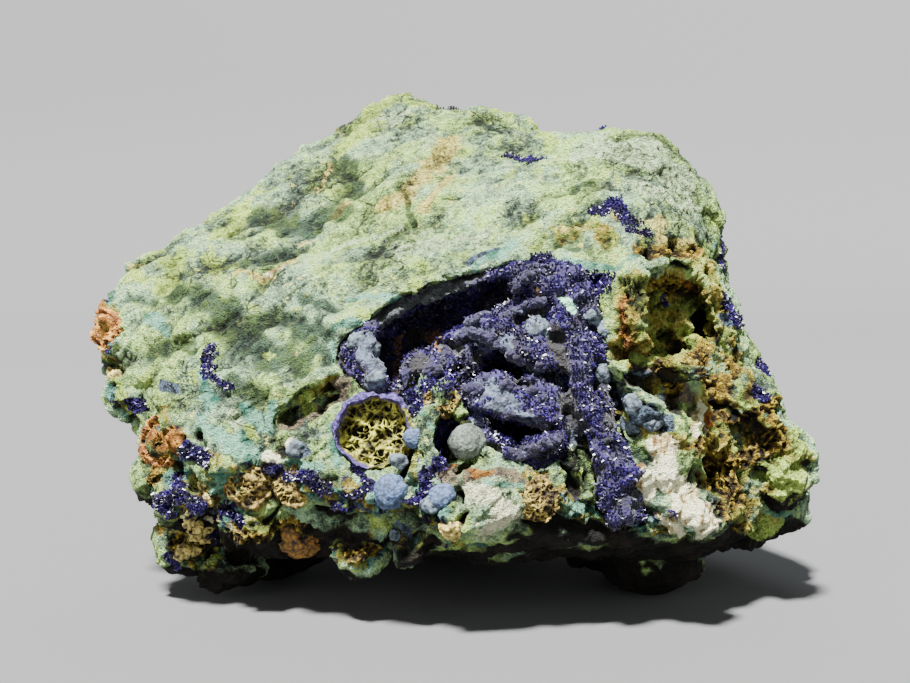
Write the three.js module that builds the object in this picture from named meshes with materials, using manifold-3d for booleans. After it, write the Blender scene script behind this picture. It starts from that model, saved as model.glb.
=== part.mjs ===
// Copper ore specimen: a broken lump of altered rock, with an azurite-lined hollow in its front face,
// honeycombed limonite nodules round the hollow, and three feet that it rests on.
// Millimetres, +Z up. The face with the hollow looks towards -Y, and the feet stand on z = 0.
import * as THREE from "three";
import { ConvexHull } from "three/addons/math/ConvexHull.js";
import { ImprovedNoise } from "three/addons/math/ImprovedNoise.js";
import { mergeVertices } from "three/addons/utils/BufferGeometryUtils.js";
import Module from "manifold-3d";

const wasm = await Module();
wasm.setup();

// The corners where the broken faces of the lump meet. It is about 150 mm long and 108 mm high.
const LUMP_CORNERS = {
  leftEndLow: [-77, 2, 45],
  leftEndHigh: [-76, 2, 61],
  leftUpper: [-67, 9, 67],
  ridgeLeft: [-56, 18, 81],
  ridgeMiddle: [-37, 28, 95],
  peakLeft: [-17, 37, 107],
  peakMiddle: [12, 42, 104],
  peakRight: [34, 0, 95],
  shoulderRight: [50, 2, 88],
  rightTop: [56, 0, 80],
  rightMiddle: [64, 4, 52],
  bulgeHigh: [76, 2, 33],
  bulgeLow: [77, 0, 16],
  heelRight: [67, -10, 8],
  lipLeft: [-21, -28, 57],
  lipRight: [13, -24, 68],
  browLeft: [35, -28, 71],
  browRight: [50, -14, 71],
  creaseEnd: [-67, -8, 35],
  creaseLeft: [-50, -30, 30],
  creaseMiddle: [-30, -41, 28],
  creaseFront: [-10, -46, 24],
  ledge: [8, -47, 20],
  creaseRight: [24, -45, 19],
  chinRight: [44, -41, 19],
  chinEnd: [63, -24, 12],
  underEnd: [-57, -21, 9],
  underLeft: [-31, -28, 10],
  underMiddle: [0, -28, 9],
  underRight: [30, -28, 9],
  backLeft: [-58, 36, 42],
  backLeftLow: [-46, 40, 8],
  backHigh: [-5, 56, 84],
  backRightHigh: [44, 34, 74],
  backMiddle: [4, 60, 40],
  backRight: [62, 36, 30],
  backRightLow: [48, 42, 8],
  backLow: [0, 50, 7],
};

// Broad swells and dips of the broken faces: where, how far each reaches, and how far it rises.
const SWELLS = [
  { at: [-14, 37, 107], reach: 8, rise: 4 },
  { at: [-1, 38, 105], reach: 7, rise: -4 },
  { at: [12, 41, 104], reach: 8, rise: 7 },
  { at: [24, 22, 98], reach: 11, rise: -11 },
  { at: [36, -1, 94], reach: 9, rise: 5 },
  { at: [66, 2, 44], reach: 13, rise: -4 },
  { at: [62, 3, 58], reach: 9, rise: -2.5 },
  { at: [-66, -4, 32], reach: 8, rise: -4 },
  { at: [-48, 0, 68], reach: 13, rise: 2.5 },
  { at: [-30, -4, 70], reach: 10, rise: -3 },
  { at: [-8, 4, 84], reach: 9, rise: 3 },
  { at: [16, -6, 80], reach: 9, rise: 2.5 },
  { at: [2, -12, 72], reach: 8, rise: -2.5 },
  { at: [-33, -26, 56], reach: 5, rise: -3.5 },
  { at: [-62, -12, 47], reach: 8, rise: -2.5 },
  { at: [-40, -24, 46], reach: 9, rise: 2 },
  { at: [-30, 52, 62], reach: 16, rise: -5 },
  { at: [36, 44, 52], reach: 15, rise: 4 },
  { at: [-60, 22, 20], reach: 14, rise: -5 },
  { at: [0, 4, 8], reach: 20, rise: -4 },
  { at: [-36, 4, 9], reach: 11, rise: 16 },
  { at: [32, 2, 9], reach: 12, rise: 14.5 },
  { at: [2, 34, 8], reach: 12, rise: 15 },
];

// Lumps, hummocks and grain of a broken face: a wavelength and a height each.
const FACE_WAVES = [
  { wave: 26, height: 3 },
  { wave: 11, height: 2.2 },
  { wave: 6, height: 1 },
];
const KNOB_WAVES = [
  { wave: 8, height: 2.4 },
  { wave: 4, height: 1.2 },
];
const WALL_WAVES = [
  { wave: 9, height: 1.8 },
  { wave: 4.5, height: 0.8 },
];
const CRYSTAL_WAVES = [
  { wave: 4.5, height: 1.2 },
  { wave: 2.2, height: 0.5 },
];

// Lumps that stand out of the faces: the middle of each, its half-lengths, and the lift of its +X end in degrees.
const KNOBS = {
  azuriteShoulder: { at: [-58, -13, 24], size: [7, 8, 6] },
  azuriteLump: { at: [-50, -21, 21], size: [8, 7, 6] },
  ochreLump: { at: [-53, -12, 11], size: [9, 8, 7] },
  ochreFoot: { at: [-45, -14, 6], size: [7, 7, 5] },
  belly: { at: [-38, -27, 18], size: [8, 6, 5] },
  amberBall: { at: [-29.5, -26, 15], size: [4.5, 4.5, 4.5] },
  hangingKnob: { at: [-17, -33, 12.5], size: [4.2, 5, 3.4] },
  hangingTuft: { at: [-8.5, -38, 15], size: [3.6, 4, 5] },
  column: { at: [-3.6, -40, 35], size: [2.8, 4, 6.5] },
  leftBrow: { at: [-67.5, -4, 40], size: [5, 7, 6] },
  plate: { at: [4, -44, 24], size: [10, 4, 6], tilt: 14 },
  creamFall: { at: [39, -36, 31], size: [5.5, 5.5, 9.5], tilt: -8 },
  creamFoot: { at: [43, -37, 22], size: [9, 5, 4.5], tilt: -16 },
  blueKnobHigh: { at: [30, -36.5, 47.5], size: [3.4, 4, 2.6], tilt: 20 },
  blueKnobLow: { at: [34, -37.5, 41], size: [5, 4.5, 3.4] },
  shelf: { at: [42, -32, 47], size: [7, 6, 2.6], tilt: -12 },
  hangingRock: { at: [32, -32, 57], size: [4.5, 6, 11] },
  cheekHigh: { at: [56, -19, 40], size: [9, 8, 6] },
  cheek: { at: [61, -17, 28], size: [10, 10, 8] },
  keelFront: { at: [40, -12, 9], size: [11, 11, 9] },
};

// Nodules with honeycombed faces: the way each looks, its count of pits, and how deep it is cupped.
const NODULES = {
  cupped: { at: [-14.5, -35.5, 36], radius: 7.4, facing: [-0.1, -1, 0.25], pits: 6, cup: 2.6 },
  twinLeft: { at: [-38, -29.5, 26], radius: 5.2, facing: [-0.3, -1, 0.1], pits: 5 },
  twinRight: { at: [-29.5, -34, 26], radius: 3.8, facing: [-0.2, -1, 0], pits: 4 },
  rust: { at: [-57, -17.5, 31.5], radius: 5.2, facing: [-0.5, -1, 0.2], pits: 5 },
  small: { at: [-2.4, -36, 41.5], radius: 2.8, facing: [0, -1, 0.3], pits: 3 },
  brown: { at: [14.5, -43, 25], radius: 3.8, facing: [0.1, -1, 0], pits: 4 },
  leftEnd: { at: [-71, -2, 53], radius: 4.2, facing: [-0.8, -1, 0.1], pits: 3 },
  cheek: { at: [63, -18, 27], radius: 8.8, facing: [0.4, -1, 0], pits: 6 },
};
const PIT_WIDTH = 0.34; // the share of its nodule's radius
const PIT_DEPTH = 0.5;
const PIT_SPREAD = 1.1; // the outermost pit's angle from the middle of the face, in radians
const GOLDEN_ANGLE = 2.4;

// The hollow that the azurite lines, as rounded lobes that run into each other.
const LINED_LOBES = {
  underLip: { at: [0, -25, 55.5], size: [24, 17, 8.5], tilt: 21 },
  heart: { at: [12.5, -32, 41.5], size: [13, 17, 14], tilt: 15 },
  crown: { at: [19, -28, 59], size: [8.5, 10, 8] },
  window: { at: [-12, -28, 47.5], size: [6.5, 13, 8] },
};
const VEIN = {
  path: [
    [22, -32, 54],
    [25, -37.5, 42],
    [27.5, -41, 33],
    [32, -43, 21],
  ],
  radius: 4.6,
};

// Hollows with no crystals: the shaded recess of the right face, its nooks, and a slit in the left face.
const BARE_LOBES = {
  recess: { at: [43, -27, 57], size: [10, 13, 12], tilt: -12 },
  nook: { at: [40, -38, 43.5], size: [5.5, 7, 2.4], tilt: -12 },
  pipe: { at: [49, -24, 54], size: [3, 12, 4.4] },
  underCheek: { at: [50, -32, 29], size: [4.5, 7, 7] },
  slit: { at: [-27, -37, 41], size: [10, 9, 3.8], tilt: 36 },
  pocket: { at: [0, -39, 34], size: [4, 7, 7], tilt: 20 },
};

const CRUST_THICKNESS = 2.4;
const CRUST_GAP = 0.55; // between the crust and the rock
const CRUST_PROUD = 2.4; // how far its ribs may stand out of the lump's face
const CRUST_SETBACK = 2; // how far behind that face its lining begins

// Ribs and rods of azurite that cross the hollow.
const RIBS = {
  fork: { path: [[5, -33, 55], [13, -34.5, 52], [20, -36, 49], [25, -37, 45]], radius: 2.6 },
  shelf: { path: [[4, -36, 43], [12, -37, 41.5], [19, -38, 40], [26, -38, 39]], radius: 4 },
  blade: { path: [[0, -42, 28.5], [8, -43, 31.5], [15, -42, 34], [25, -39, 36.5]], radius: 1.9 },
  post: { path: [[-17, -29, 58], [-17, -32, 51], [-15, -33.5, 46], [-15.5, -35, 41]], radius: 2.6 },
  ramp: { path: [[18, -28, 59], [9, -25, 53.5], [-2, -24, 49], [-6, -28, 44]], radius: 3.8 },
  mass: { path: [[14, -25, 65], [21, -30, 62], [23, -33, 55], [18, -33, 51]], radius: 4.6 },
};

// Round balls of radiating crystals: those on the crust, and those on the rock below the hollow.
const CRUST_BALLS = {
  shaded: { at: [15, -32, 54.5], size: [2.4, 2.4, 2.4] },
  tuft: { at: [-6, -31, 46.5], size: [4, 4, 4] },
};
const ROCK_BALLS = {
  blueLarge: { at: [-11.5, -43, 26.2], size: [3.1, 3.1, 3.1] },
  blueSmall: { at: [-2.2, -44.5, 25.4], size: [2.4, 2.4, 2.4] },
  blueHigh: { at: [-7.4, -40, 35.4], size: [2, 2, 2] },
  grey: { at: [2.2, -40, 34.5], size: [3.3, 3.3, 3.3] },
};

const noise = new ImprovedNoise();
const NOISE_OFFSET = 40; // keeps the whole lump on the positive side of the noise's lattice

function roughness(p, waves) {
  let sum = 0;
  for (const { wave, height } of waves) {
    sum += height * noise.noise(p.x / wave + NOISE_OFFSET, p.y / wave + NOISE_OFFSET, p.z / wave + NOISE_OFFSET);
  }
  return sum;
}

// A closed geometry as a solid for joining and cutting.
function solidOf(geometry) {
  geometry.deleteAttribute("normal");
  geometry.deleteAttribute("uv");
  const merged = mergeVertices(geometry, 1e-4);
  return new wasm.Manifold(
    new wasm.Mesh({
      numProp: 3,
      vertProperties: merged.attributes.position.array,
      triVerts: new Uint32Array(merged.index.array),
    }),
  );
}

function join(solids) {
  return solids.reduce((all, solid) => all.add(solid));
}

// The flat faces of the hull round some corners, each a direction and its distance from the centre.
const SAME_FACE = 0.9995;
function facetsOf(corners, centre) {
  const facets = [];
  for (const { normal, constant } of new ConvexHull().setFromPoints(corners).faces) {
    if (facets.some((f) => f.normal.dot(normal) > SAME_FACE)) continue;
    facets.push({ normal: normal.clone(), distance: constant - normal.dot(centre) });
  }
  return facets;
}

// The lump itself: a ball of small faces pushed out to the flat faces between its corners, with worn edges,
// swells and a rough skin. grow moves the whole skin outwards.
const LUMP_DETAIL = 8;
const EDGE_WEAR = 70; // higher is sharper
const FRONT_BIAS = new THREE.Vector3(0, -0.22, 0.14); // gives the front face the smaller facets
const points = Object.values(LUMP_CORNERS).map((corner) => new THREE.Vector3(...corner));
const lumpBox = new THREE.Box3().setFromPoints(points);
const lumpCentre = lumpBox.getCenter(new THREE.Vector3());
const lumpHalf = lumpBox.getSize(new THREE.Vector3()).multiplyScalar(0.5);
const lumpFacets = facetsOf(points, lumpCentre);

function lump(grow = 0) {
  const ball = new THREE.IcosahedronGeometry(1, LUMP_DETAIL);
  const position = ball.getAttribute("position");
  const out = new THREE.Vector3();
  const p = new THREE.Vector3();
  for (let i = 0; i < position.count; i++) {
    out.fromBufferAttribute(position, i).add(FRONT_BIAS).multiply(lumpHalf).normalize();
    let sum = 0;
    for (const { normal, distance } of lumpFacets) sum += Math.max(0, out.dot(normal) / distance) ** EDGE_WEAR;
    let reach = sum ** (-1 / EDGE_WEAR);
    p.copy(out).multiplyScalar(reach).add(lumpCentre);
    for (const { at, reach: width, rise } of SWELLS) {
      reach += rise * Math.exp(-p.distanceToSquared(new THREE.Vector3(...at)) / width ** 2);
    }
    reach += roughness(p, FACE_WAVES) + grow;
    p.copy(out).multiplyScalar(reach).add(lumpCentre);
    position.setXYZ(i, p.x, p.y, p.z);
  }
  return solidOf(ball);
}

const EGG_FACET = 12;

// A rough egg: size is its half-lengths, tilt lifts its +X end, and inset draws its skin inwards.
const FRONT_AXIS = new THREE.Vector3(0, 1, 0);
function egg({ at, size, tilt = 0 }, waves, inset = 0) {
  const centre = new THREE.Vector3(...at);
  const half = new THREE.Vector3(...size);
  const detail = Math.max(1, Math.round(Math.max(...size) / EGG_FACET));
  const turn = new THREE.Quaternion().setFromAxisAngle(FRONT_AXIS, THREE.MathUtils.degToRad(-tilt));
  const ball = new THREE.IcosahedronGeometry(1, detail);
  const position = ball.getAttribute("position");
  const p = new THREE.Vector3();
  for (let i = 0; i < position.count; i++) {
    p.fromBufferAttribute(position, i).multiply(half).applyQuaternion(turn);
    const reach = p.length() + roughness(p.clone().add(centre), waves) - inset;
    p.setLength(reach).add(centre);
    position.setXYZ(i, p.x, p.y, p.z);
  }
  return solidOf(ball);
}

// A rod with round ends along a smooth curve through its path's points. inset draws its skin inwards.
const ROD_SIDES = 6;
const ROD_STEPS = 3;
function rod({ path, radius }, waves, inset = 0) {
  const curve = new THREE.CatmullRomCurve3(path.map((p) => new THREE.Vector3(...p)));
  const length = curve.getLength();
  const capsule = new THREE.CapsuleGeometry(radius, length, 1, ROD_SIDES, ROD_STEPS);
  const position = capsule.getAttribute("position");
  const p = new THREE.Vector3();
  for (let i = 0; i < position.count; i++) {
    const along = THREE.MathUtils.clamp(0.5 + position.getY(i) / length, 0, 1);
    const middle = curve.getPointAt(along);
    const tangent = curve.getTangentAt(along);
    const side = tangent.clone().cross(FRONT_AXIS).normalize();
    const overshoot = position.getY(i) - (along - 0.5) * length;
    p.copy(tangent)
      .multiplyScalar(overshoot)
      .addScaledVector(side, position.getX(i))
      .addScaledVector(side.cross(tangent), position.getZ(i));
    const reach = p.length() + roughness(p.clone().add(middle), waves) - inset;
    p.setLength(reach).add(middle);
    position.setXYZ(i, p.x, p.y, p.z);
  }
  return solidOf(capsule);
}

// The pits of one nodule, spread over its face as seeds are over a flower head, and the cup that they sit in.
const CONE_AXIS = new THREE.Vector3(0, 1, 0);
function pitsOf({ at, radius, facing, pits, cup = 0 }) {
  const middle = new THREE.Vector3(...at);
  const out = new THREE.Vector3(...facing).normalize();
  const side = new THREE.Vector3(0, 0, 1).cross(out).normalize();
  const up = out.clone().cross(side);
  const cutters = [];
  if (cup > 0) {
    const bowl = new THREE.IcosahedronGeometry(radius * 0.8, 2).scale(1, 0.7, 1);
    cutters.push(solidOf(bowl.translate(...middle.clone().addScaledVector(out, radius * 1.56 - cup).toArray())));
  }
  for (let i = 0; i < pits; i++) {
    const lean = PIT_SPREAD * Math.sqrt((i + 0.5) / pits) * (cup > 0 ? 0.55 : 1);
    const turn = i * GOLDEN_ANGLE;
    const direction = out
      .clone()
      .multiplyScalar(Math.cos(lean))
      .addScaledVector(side, Math.sin(lean) * Math.cos(turn))
      .addScaledVector(up, Math.sin(lean) * Math.sin(turn));
    const pit = new THREE.ConeGeometry(radius * PIT_WIDTH, radius * PIT_DEPTH, 5);
    pit.rotateY(turn);
    pit.applyQuaternion(new THREE.Quaternion().setFromUnitVectors(CONE_AXIS, direction.clone().negate()));
    const depth = radius * (1.06 - PIT_DEPTH / 2) - cup;
    pit.translate(...middle.clone().addScaledVector(direction, depth).toArray());
    cutters.push(solidOf(pit));
  }
  return cutters;
}

// The rock: lump, knobs, nodules and balls grown together, less its hollows and pits, cut flat under its feet.
function hostRock() {
  const grown = join([
    lump(),
    ...Object.values(KNOBS).map((knob) => egg(knob, KNOB_WAVES)),
    ...Object.values(ROCK_BALLS).map((ball) => egg(ball, [])),
    ...Object.values(NODULES).map(({ at, radius }) => egg({ at, size: [radius, radius, radius] }, CRYSTAL_WAVES)),
  ]);
  const hollows = [...linedHollow(0), ...Object.values(BARE_LOBES).map((lobe) => egg(lobe, WALL_WAVES))];
  const pits = Object.values(NODULES).flatMap(pitsOf);
  const below = new THREE.BoxGeometry(400, 400, 60).translate(0, 0, -30);
  return largest(grown.subtract(join([...hollows, ...pits, solidOf(below)])));
}

function linedHollow(inset) {
  return [...Object.values(LINED_LOBES).map((lobe) => egg(lobe, WALL_WAVES, inset)), rod(VEIN, CRYSTAL_WAVES, inset)];
}

// The azurite crust: a lining of the hollow, with the vein, ribs and balls that cross it.
function azuriteCrust() {
  const space = join(linedHollow(CRUST_GAP));
  const open = join(Object.values(LINED_LOBES).map((lobe) => egg(lobe, WALL_WAVES, CRUST_GAP + CRUST_THICKNESS)));
  const lining = space.subtract(open).intersect(lump(-CRUST_SETBACK));
  const ribs = join([
    rod(VEIN, CRYSTAL_WAVES, CRUST_GAP),
    ...Object.values(RIBS).map((rib) => rod(rib, CRYSTAL_WAVES)),
    ...Object.values(CRUST_BALLS).map((ball) => egg(ball, [])),
  ]);
  return largest(lining.add(ribs.intersect(space).intersect(lump(CRUST_PROUD))));
}

// The largest of the separate pieces that a cut leaves.
function largest(solid) {
  return solid.decompose().reduce((a, b) => (a.volume() > b.volume() ? a : b));
}

function meshOf(name, solid, colour, roughness) {
  const { numVert, numProp, vertProperties, triVerts } = solid.getMesh();
  const vertices = new Float32Array(numVert * 3);
  for (let i = 0; i < numVert; i++) vertices.set(vertProperties.subarray(i * numProp, i * numProp + 3), i * 3);
  const geometry = new THREE.BufferGeometry()
    .setAttribute("position", new THREE.BufferAttribute(vertices, 3))
    .setIndex(new THREE.BufferAttribute(triVerts, 1));
  geometry.computeVertexNormals();
  const mesh = new THREE.Mesh(geometry, new THREE.MeshStandardMaterial({ color: colour, roughness, metalness: 0 }));
  mesh.name = name;
  return mesh;
}

const specimen = new THREE.Group();
specimen.add(meshOf("host_rock", hostRock(), 0x8b8f7c, 0.9));
specimen.add(meshOf("azurite_crust", azuriteCrust(), 0x2f2a7a, 0.7));

// The origin goes under the middle of the whole specimen, on the surface that its feet stand on.
const middle = new THREE.Box3().setFromObject(specimen).getCenter(new THREE.Vector3());
for (const mesh of specimen.children) mesh.geometry.translate(-middle.x, -middle.y, 0);

export default specimen;
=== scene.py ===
# %% [markdown]
# # A copper ore specimen
#
# The object is a broken lump of altered rock, about 15 cm long. Copper-bearing water has left a velvet of deep blue
# azurite in a hollow of its front face, pale green malachite stains, and honeycombs of rusty limonite. The solid
# model already holds the lump with its hollow, and the crust that lines it. This script gives both their real skins:
# it copies each solid, remeshes the copy finely, moves its vertices by noise that imitates the breakage and the
# crystals, and colours it with materials made of nodes.

import math
import random

import bmesh
import bpy
import numpy as np
from mathutils import Matrix, Vector, noise
from mathutils.bvhtree import BVHTree


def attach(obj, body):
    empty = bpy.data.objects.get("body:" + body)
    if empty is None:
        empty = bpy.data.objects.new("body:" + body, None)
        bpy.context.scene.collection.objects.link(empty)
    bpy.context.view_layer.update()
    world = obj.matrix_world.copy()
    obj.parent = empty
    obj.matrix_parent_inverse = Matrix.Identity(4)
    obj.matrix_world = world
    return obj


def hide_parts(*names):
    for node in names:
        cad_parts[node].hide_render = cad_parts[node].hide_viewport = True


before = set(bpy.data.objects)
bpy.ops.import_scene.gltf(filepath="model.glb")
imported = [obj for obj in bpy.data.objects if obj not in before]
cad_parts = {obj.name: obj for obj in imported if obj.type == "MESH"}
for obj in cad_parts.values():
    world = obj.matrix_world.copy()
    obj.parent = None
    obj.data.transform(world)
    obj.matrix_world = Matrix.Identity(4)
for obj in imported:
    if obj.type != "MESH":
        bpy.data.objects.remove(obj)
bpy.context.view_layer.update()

# %% [markdown]
# ## The camera
#
# The camera comes first, because many small features are placed by the pixel at which the photograph shows them: a
# line from the camera through that pixel meets the rock where the feature sits. The photograph was taken from a
# little above the middle of the lump, looking down by about 3 degrees. A focal length in pixels turns into one in
# millimetres by the sensor's width over the picture's width.

# %% Camera
PICTURE_WIDTH = 910
PICTURE_HEIGHT = 683
FOCAL_PIXELS = 1260
SENSOR_MM = 36
CAMERA_PLACE = Vector((0.00036, -0.26955, 0.0645))
CAMERA_PITCH = math.radians(3)

camera_data = bpy.data.cameras.new("photo_camera")
camera_data.sensor_width = SENSOR_MM
camera_data.lens = SENSOR_MM * FOCAL_PIXELS / PICTURE_WIDTH
camera_data.clip_start = 0.01
camera = bpy.data.objects.new("photo_camera", camera_data)
camera.matrix_world = Matrix.Translation(CAMERA_PLACE) @ Matrix.Rotation(math.pi / 2 - CAMERA_PITCH, 4, "X")
bpy.context.scene.collection.objects.link(camera)
bpy.context.scene.camera = camera
bpy.context.view_layer.update()


def sight_line(pixel_x, pixel_y):
    """The direction from the camera through a pixel of the picture."""
    across = (pixel_x - PICTURE_WIDTH / 2) / FOCAL_PIXELS
    up = (PICTURE_HEIGHT / 2 - pixel_y) / FOCAL_PIXELS
    return (camera.matrix_world.to_3x3() @ Vector((across, up, -1))).normalized()


print("lens:", round(camera_data.lens, 2), "mm")

# %% [markdown]
# ## Skins
#
# A solid from a CAD program has large flat facets, and vertices only at their corners. A voxel remesh gives it an
# even net of small squares instead, which can then be pushed in and out in any pattern. It works on a copy, whose
# loose triangles are merged first. Noise then moves each vertex along its normal. The helpers below work in
# millimetres, because rock is easier to describe in them.

# %% Helpers for skins
MM = 0.001
MERGE_DISTANCE = 2e-6
OCTAVE_SHIFT = 17.3


def new_piece(name, bm):
    """Turns a bmesh into an object in the scene, with its place in its mesh."""
    mesh = bpy.data.meshes.new(name)
    bm.to_mesh(mesh)
    bm.free()
    piece = bpy.data.objects.new(name, mesh)
    bpy.context.scene.collection.objects.link(piece)
    return piece


def remeshed_copy(node, name, voxel_mm, box=None):
    """A copy of a solid's mesh, merged, cut to a box if one is given, and remeshed into squares of voxel_mm."""
    bm = bmesh.new()
    bm.from_mesh(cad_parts[node].data)
    bmesh.ops.remove_doubles(bm, verts=bm.verts, dist=MERGE_DISTANCE)
    piece = new_piece(name, bm)
    if box is not None:
        low, high = Vector(box[0]), Vector(box[1])
        bm = bmesh.new()
        place = Matrix.Translation((low + high) / 2 * MM) @ Matrix.Diagonal(((high - low) * MM).to_4d())
        bmesh.ops.create_cube(bm, size=1.0, matrix=place)
        cutter = new_piece("cutter", bm)
        cut = piece.modifiers.new("Cut", "BOOLEAN")
        cut.operation = "INTERSECT"
        cut.object = cutter
    remesh = piece.modifiers.new("Remesh", "REMESH")
    remesh.mode = "VOXEL"
    remesh.voxel_size = voxel_mm * MM
    fine = bpy.data.meshes.new_from_object(piece.evaluated_get(bpy.context.evaluated_depsgraph_get()))
    piece.modifiers.clear()
    piece.data = fine
    if box is not None:
        bpy.data.objects.remove(cutter)
    return piece


def points_and_normals(mesh):
    """Vertex places in millimetres and vertex normals, as arrays with a row for each vertex."""
    places = np.empty(len(mesh.vertices) * 3)
    mesh.vertices.foreach_get("co", places)
    normals = np.empty(len(mesh.vertices) * 3)
    mesh.vertex_normals.foreach_get("vector", normals)
    return places.reshape(-1, 3) / MM, normals.reshape(-1, 3)


def set_points(mesh, places):
    """Moves a mesh's vertices to places in millimetres."""
    mesh.vertices.foreach_set("co", (places * MM).ravel())
    mesh.update()


def waves(points, wavelength, octaves=1, offset=0.0):
    """Smooth noise from about -1 to 1 at each point, with finer octaves added at half the strength."""
    total = np.zeros(len(points))
    strength = 1.0
    for octave in range(octaves):
        scaled = points * (2**octave / wavelength) + offset + OCTAVE_SHIFT * octave
        total += strength * np.array([noise.noise(p) for p in scaled.tolist()])
        strength *= 0.5
    return total


def cells(points, size, offset=0.0):
    """How far each point is from its nearest seed and from its second nearest, in cell sizes."""
    found = np.array([noise.voronoi(p)[0][:2] for p in (points / size + offset).tolist()])
    return found[:, 0], found[:, 1]


def smooth_step(low, high, value):
    """0 below low, 1 above high and a soft step between them."""
    share = np.clip((value - low) / (high - low), 0, 1)
    return share * share * (3 - 2 * share)


def relax(bm, times):
    """Evens out a mesh by moving every vertex half way towards the middle of its neighbours, a few times."""
    for _ in range(times):
        bmesh.ops.smooth_vert(bm, verts=bm.verts, factor=0.5, use_axis_x=True, use_axis_y=True, use_axis_z=True)


def triangle_count(piece):
    """How many triangles a piece's faces make."""
    return sum(len(face.vertices) - 2 for face in piece.data.polygons)


print("helpers ready")

# %% [markdown]
# ## The rock's skins
#
# The whole lump gets squares of 1.2 mm, and the parts that face the front and the top are divided once more. The
# lower front and the right end are the finest grown, so each gets a skin of its own from the same solid, cut to a
# box, with squares of a third of a millimetre. Near the sides of its box such a skin sinks below the skin of the
# whole lump, and inside the box the whole lump's skin sinks below it, so the two read as one surface.

# %% Remesh the rock
FRONT = Vector((0.0, -1.0, 0.45)).normalized()
ROCK_VOXEL = 1.2
FINE_VOXEL = 0.7
ZONES = {
    "rock_lower_front": ((-100.0, -80.0, -20.0), (30.0, 0.0, 44.0)),
    "rock_right_front": ((28.0, -80.0, -20.0), (100.0, 12.0, 70.0)),
}
ZONE_EDGE = 4.0
FACES_FRONT = 0.08
COVERED = 0.9


def within(points, box):
    """1 well inside a box and 0 outside it, with a soft step as wide as ZONE_EDGE."""
    margin = np.minimum(points - np.array(box[0]), np.array(box[1]) - points).min(axis=1)
    return smooth_step(0, ZONE_EDGE, margin)


def skin(name, voxel_mm, box=None):
    """A remeshed copy of the rock, relaxed, with the squares that face the front divided once more."""
    piece = remeshed_copy("host_rock", name, voxel_mm, box)
    bm = bmesh.new()
    bm.from_mesh(piece.data)
    relax(bm, 3)
    faces = [f for f in bm.faces if f.normal.dot(FRONT) > FACES_FRONT]
    centres = np.array([f.calc_center_median() for f in faces]) / MM
    if box is None:
        covered = np.maximum.reduce([within(centres, zone) for zone in ZONES.values()])
        chosen = covered < COVERED
    else:
        chosen = centres[:, 2] < box[1][2] - voxel_mm
    edges = {e for f, fine in zip(faces, chosen) if fine for e in f.edges}
    bmesh.ops.subdivide_edges(bm, edges=list(edges), cuts=1, use_grid_fill=True)
    bm.to_mesh(piece.data)
    bm.free()
    return piece


rock = skin("rock", ROCK_VOXEL)
bm = bmesh.new()
bm.from_mesh(rock.data)
rock_tree = BVHTree.FromBMesh(bm)
bm.free()
zone_skins = [skin(name, FINE_VOXEL, box) for name, box in ZONES.items()]
for piece in (rock, *zone_skins):
    print(piece.name, triangle_count(piece), "triangles")

# %% [markdown]
# ## Where each mineral grows
#
# Each mineral has grown in streaks and patches. A patch is written as a stroke, a short path over the picture with a
# width in pixels, the way it would be dabbed on with a brush. Every point of the path is sent along its line of
# sight to the rock, so that the stroke lies on the real surface and keeps its place when the view turns. On a face
# that turns away from the camera it runs out long. A vertex near the path gets a high value, and noise on the
# distance frays the edge.

# %% Strokes of azurite
AZURITE_STROKES = {
    "saddle": ([(508, 157), (540, 160)], 5),
    "ridge_fleck": ([(602, 131), (608, 128)], 5),
    "brow": ([(600, 208), (620, 203), (630, 222)], 8),
    "lip_mass": ([(545, 262), (550, 285), (575, 288), (598, 286)], 13),
    "lip_mass_low": ([(560, 305), (588, 304)], 10),
    "right_edge_high": ([(719, 240), (722, 262)], 5),
    "right_edge": ([(722, 296), (735, 318), (752, 328), (760, 345), (763, 368)], 7),
    "right_edge_low": ([(762, 388), (764, 396)], 5),
    "left_edge": ([(128, 400), (140, 408)], 6),
    "shoulder_high": ([(186, 450), (206, 462)], 9),
    "shoulder": ([(172, 480), (182, 494), (160, 500)], 9),
    "shoulder_right": ([(192, 500), (206, 512)], 8),
    "shoulder_knob": ([(226, 510), (242, 522)], 7),
    "foot_tip": ([(170, 556), (178, 567)], 5),
    "foot_top": ([(198, 538), (216, 545)], 6),
    "belt": ([(250, 466), (262, 470), (287, 472), (312, 477), (330, 490), (350, 495), (368, 486)], 7),
    "belt_low": ([(330, 500), (346, 508)], 6),
    "belt_right": ([(408, 499), (421, 506)], 6),
    "cup_foot": ([(352, 470), (360, 478), (372, 480)], 4),
    "column": ([(448, 428), (441, 446), (434, 464), (423, 486)], 11),
    "ball_gap": ([(408, 500), (413, 502)], 4),
    "window_side": ([(411, 393), (421, 403), (415, 412)], 9),
    "face_spot": ([(211, 352), (212, 368)], 7),
    "face_spot_low": ([(217, 379), (226, 388)], 4),
    "window_left": ([(424, 386), (440, 372), (458, 380)], 8),
    "window_foot": ([(452, 430), (470, 440)], 5),
    "window_lump": ([(430, 384), (448, 392)], 9),
    "cream_foot": ([(672, 508), (676, 511)], 3),
    "window_top": ([(458, 396), (470, 390), (482, 396)], 7),
    "lip_mass_foot": ([(552, 312), (588, 318)], 6),
    "recess_smudge": ([(662, 297), (666, 303)], 3),
    "brow_dab": ([(626, 232), (648, 232)], 3),
    "shoulder_mid": ([(190, 442), (202, 452)], 7),
    "foot_side": ([(158, 496), (170, 512)], 6),
}
print("azurite strokes:", len(AZURITE_STROKES))

# %% [markdown]
# Copper has stained the stone in three more colours: blue-green malachite in seams and edges, a lime-green dust on
# the crests of the slope, and a powdery pale blue on the knobs beside the hollow.

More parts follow.
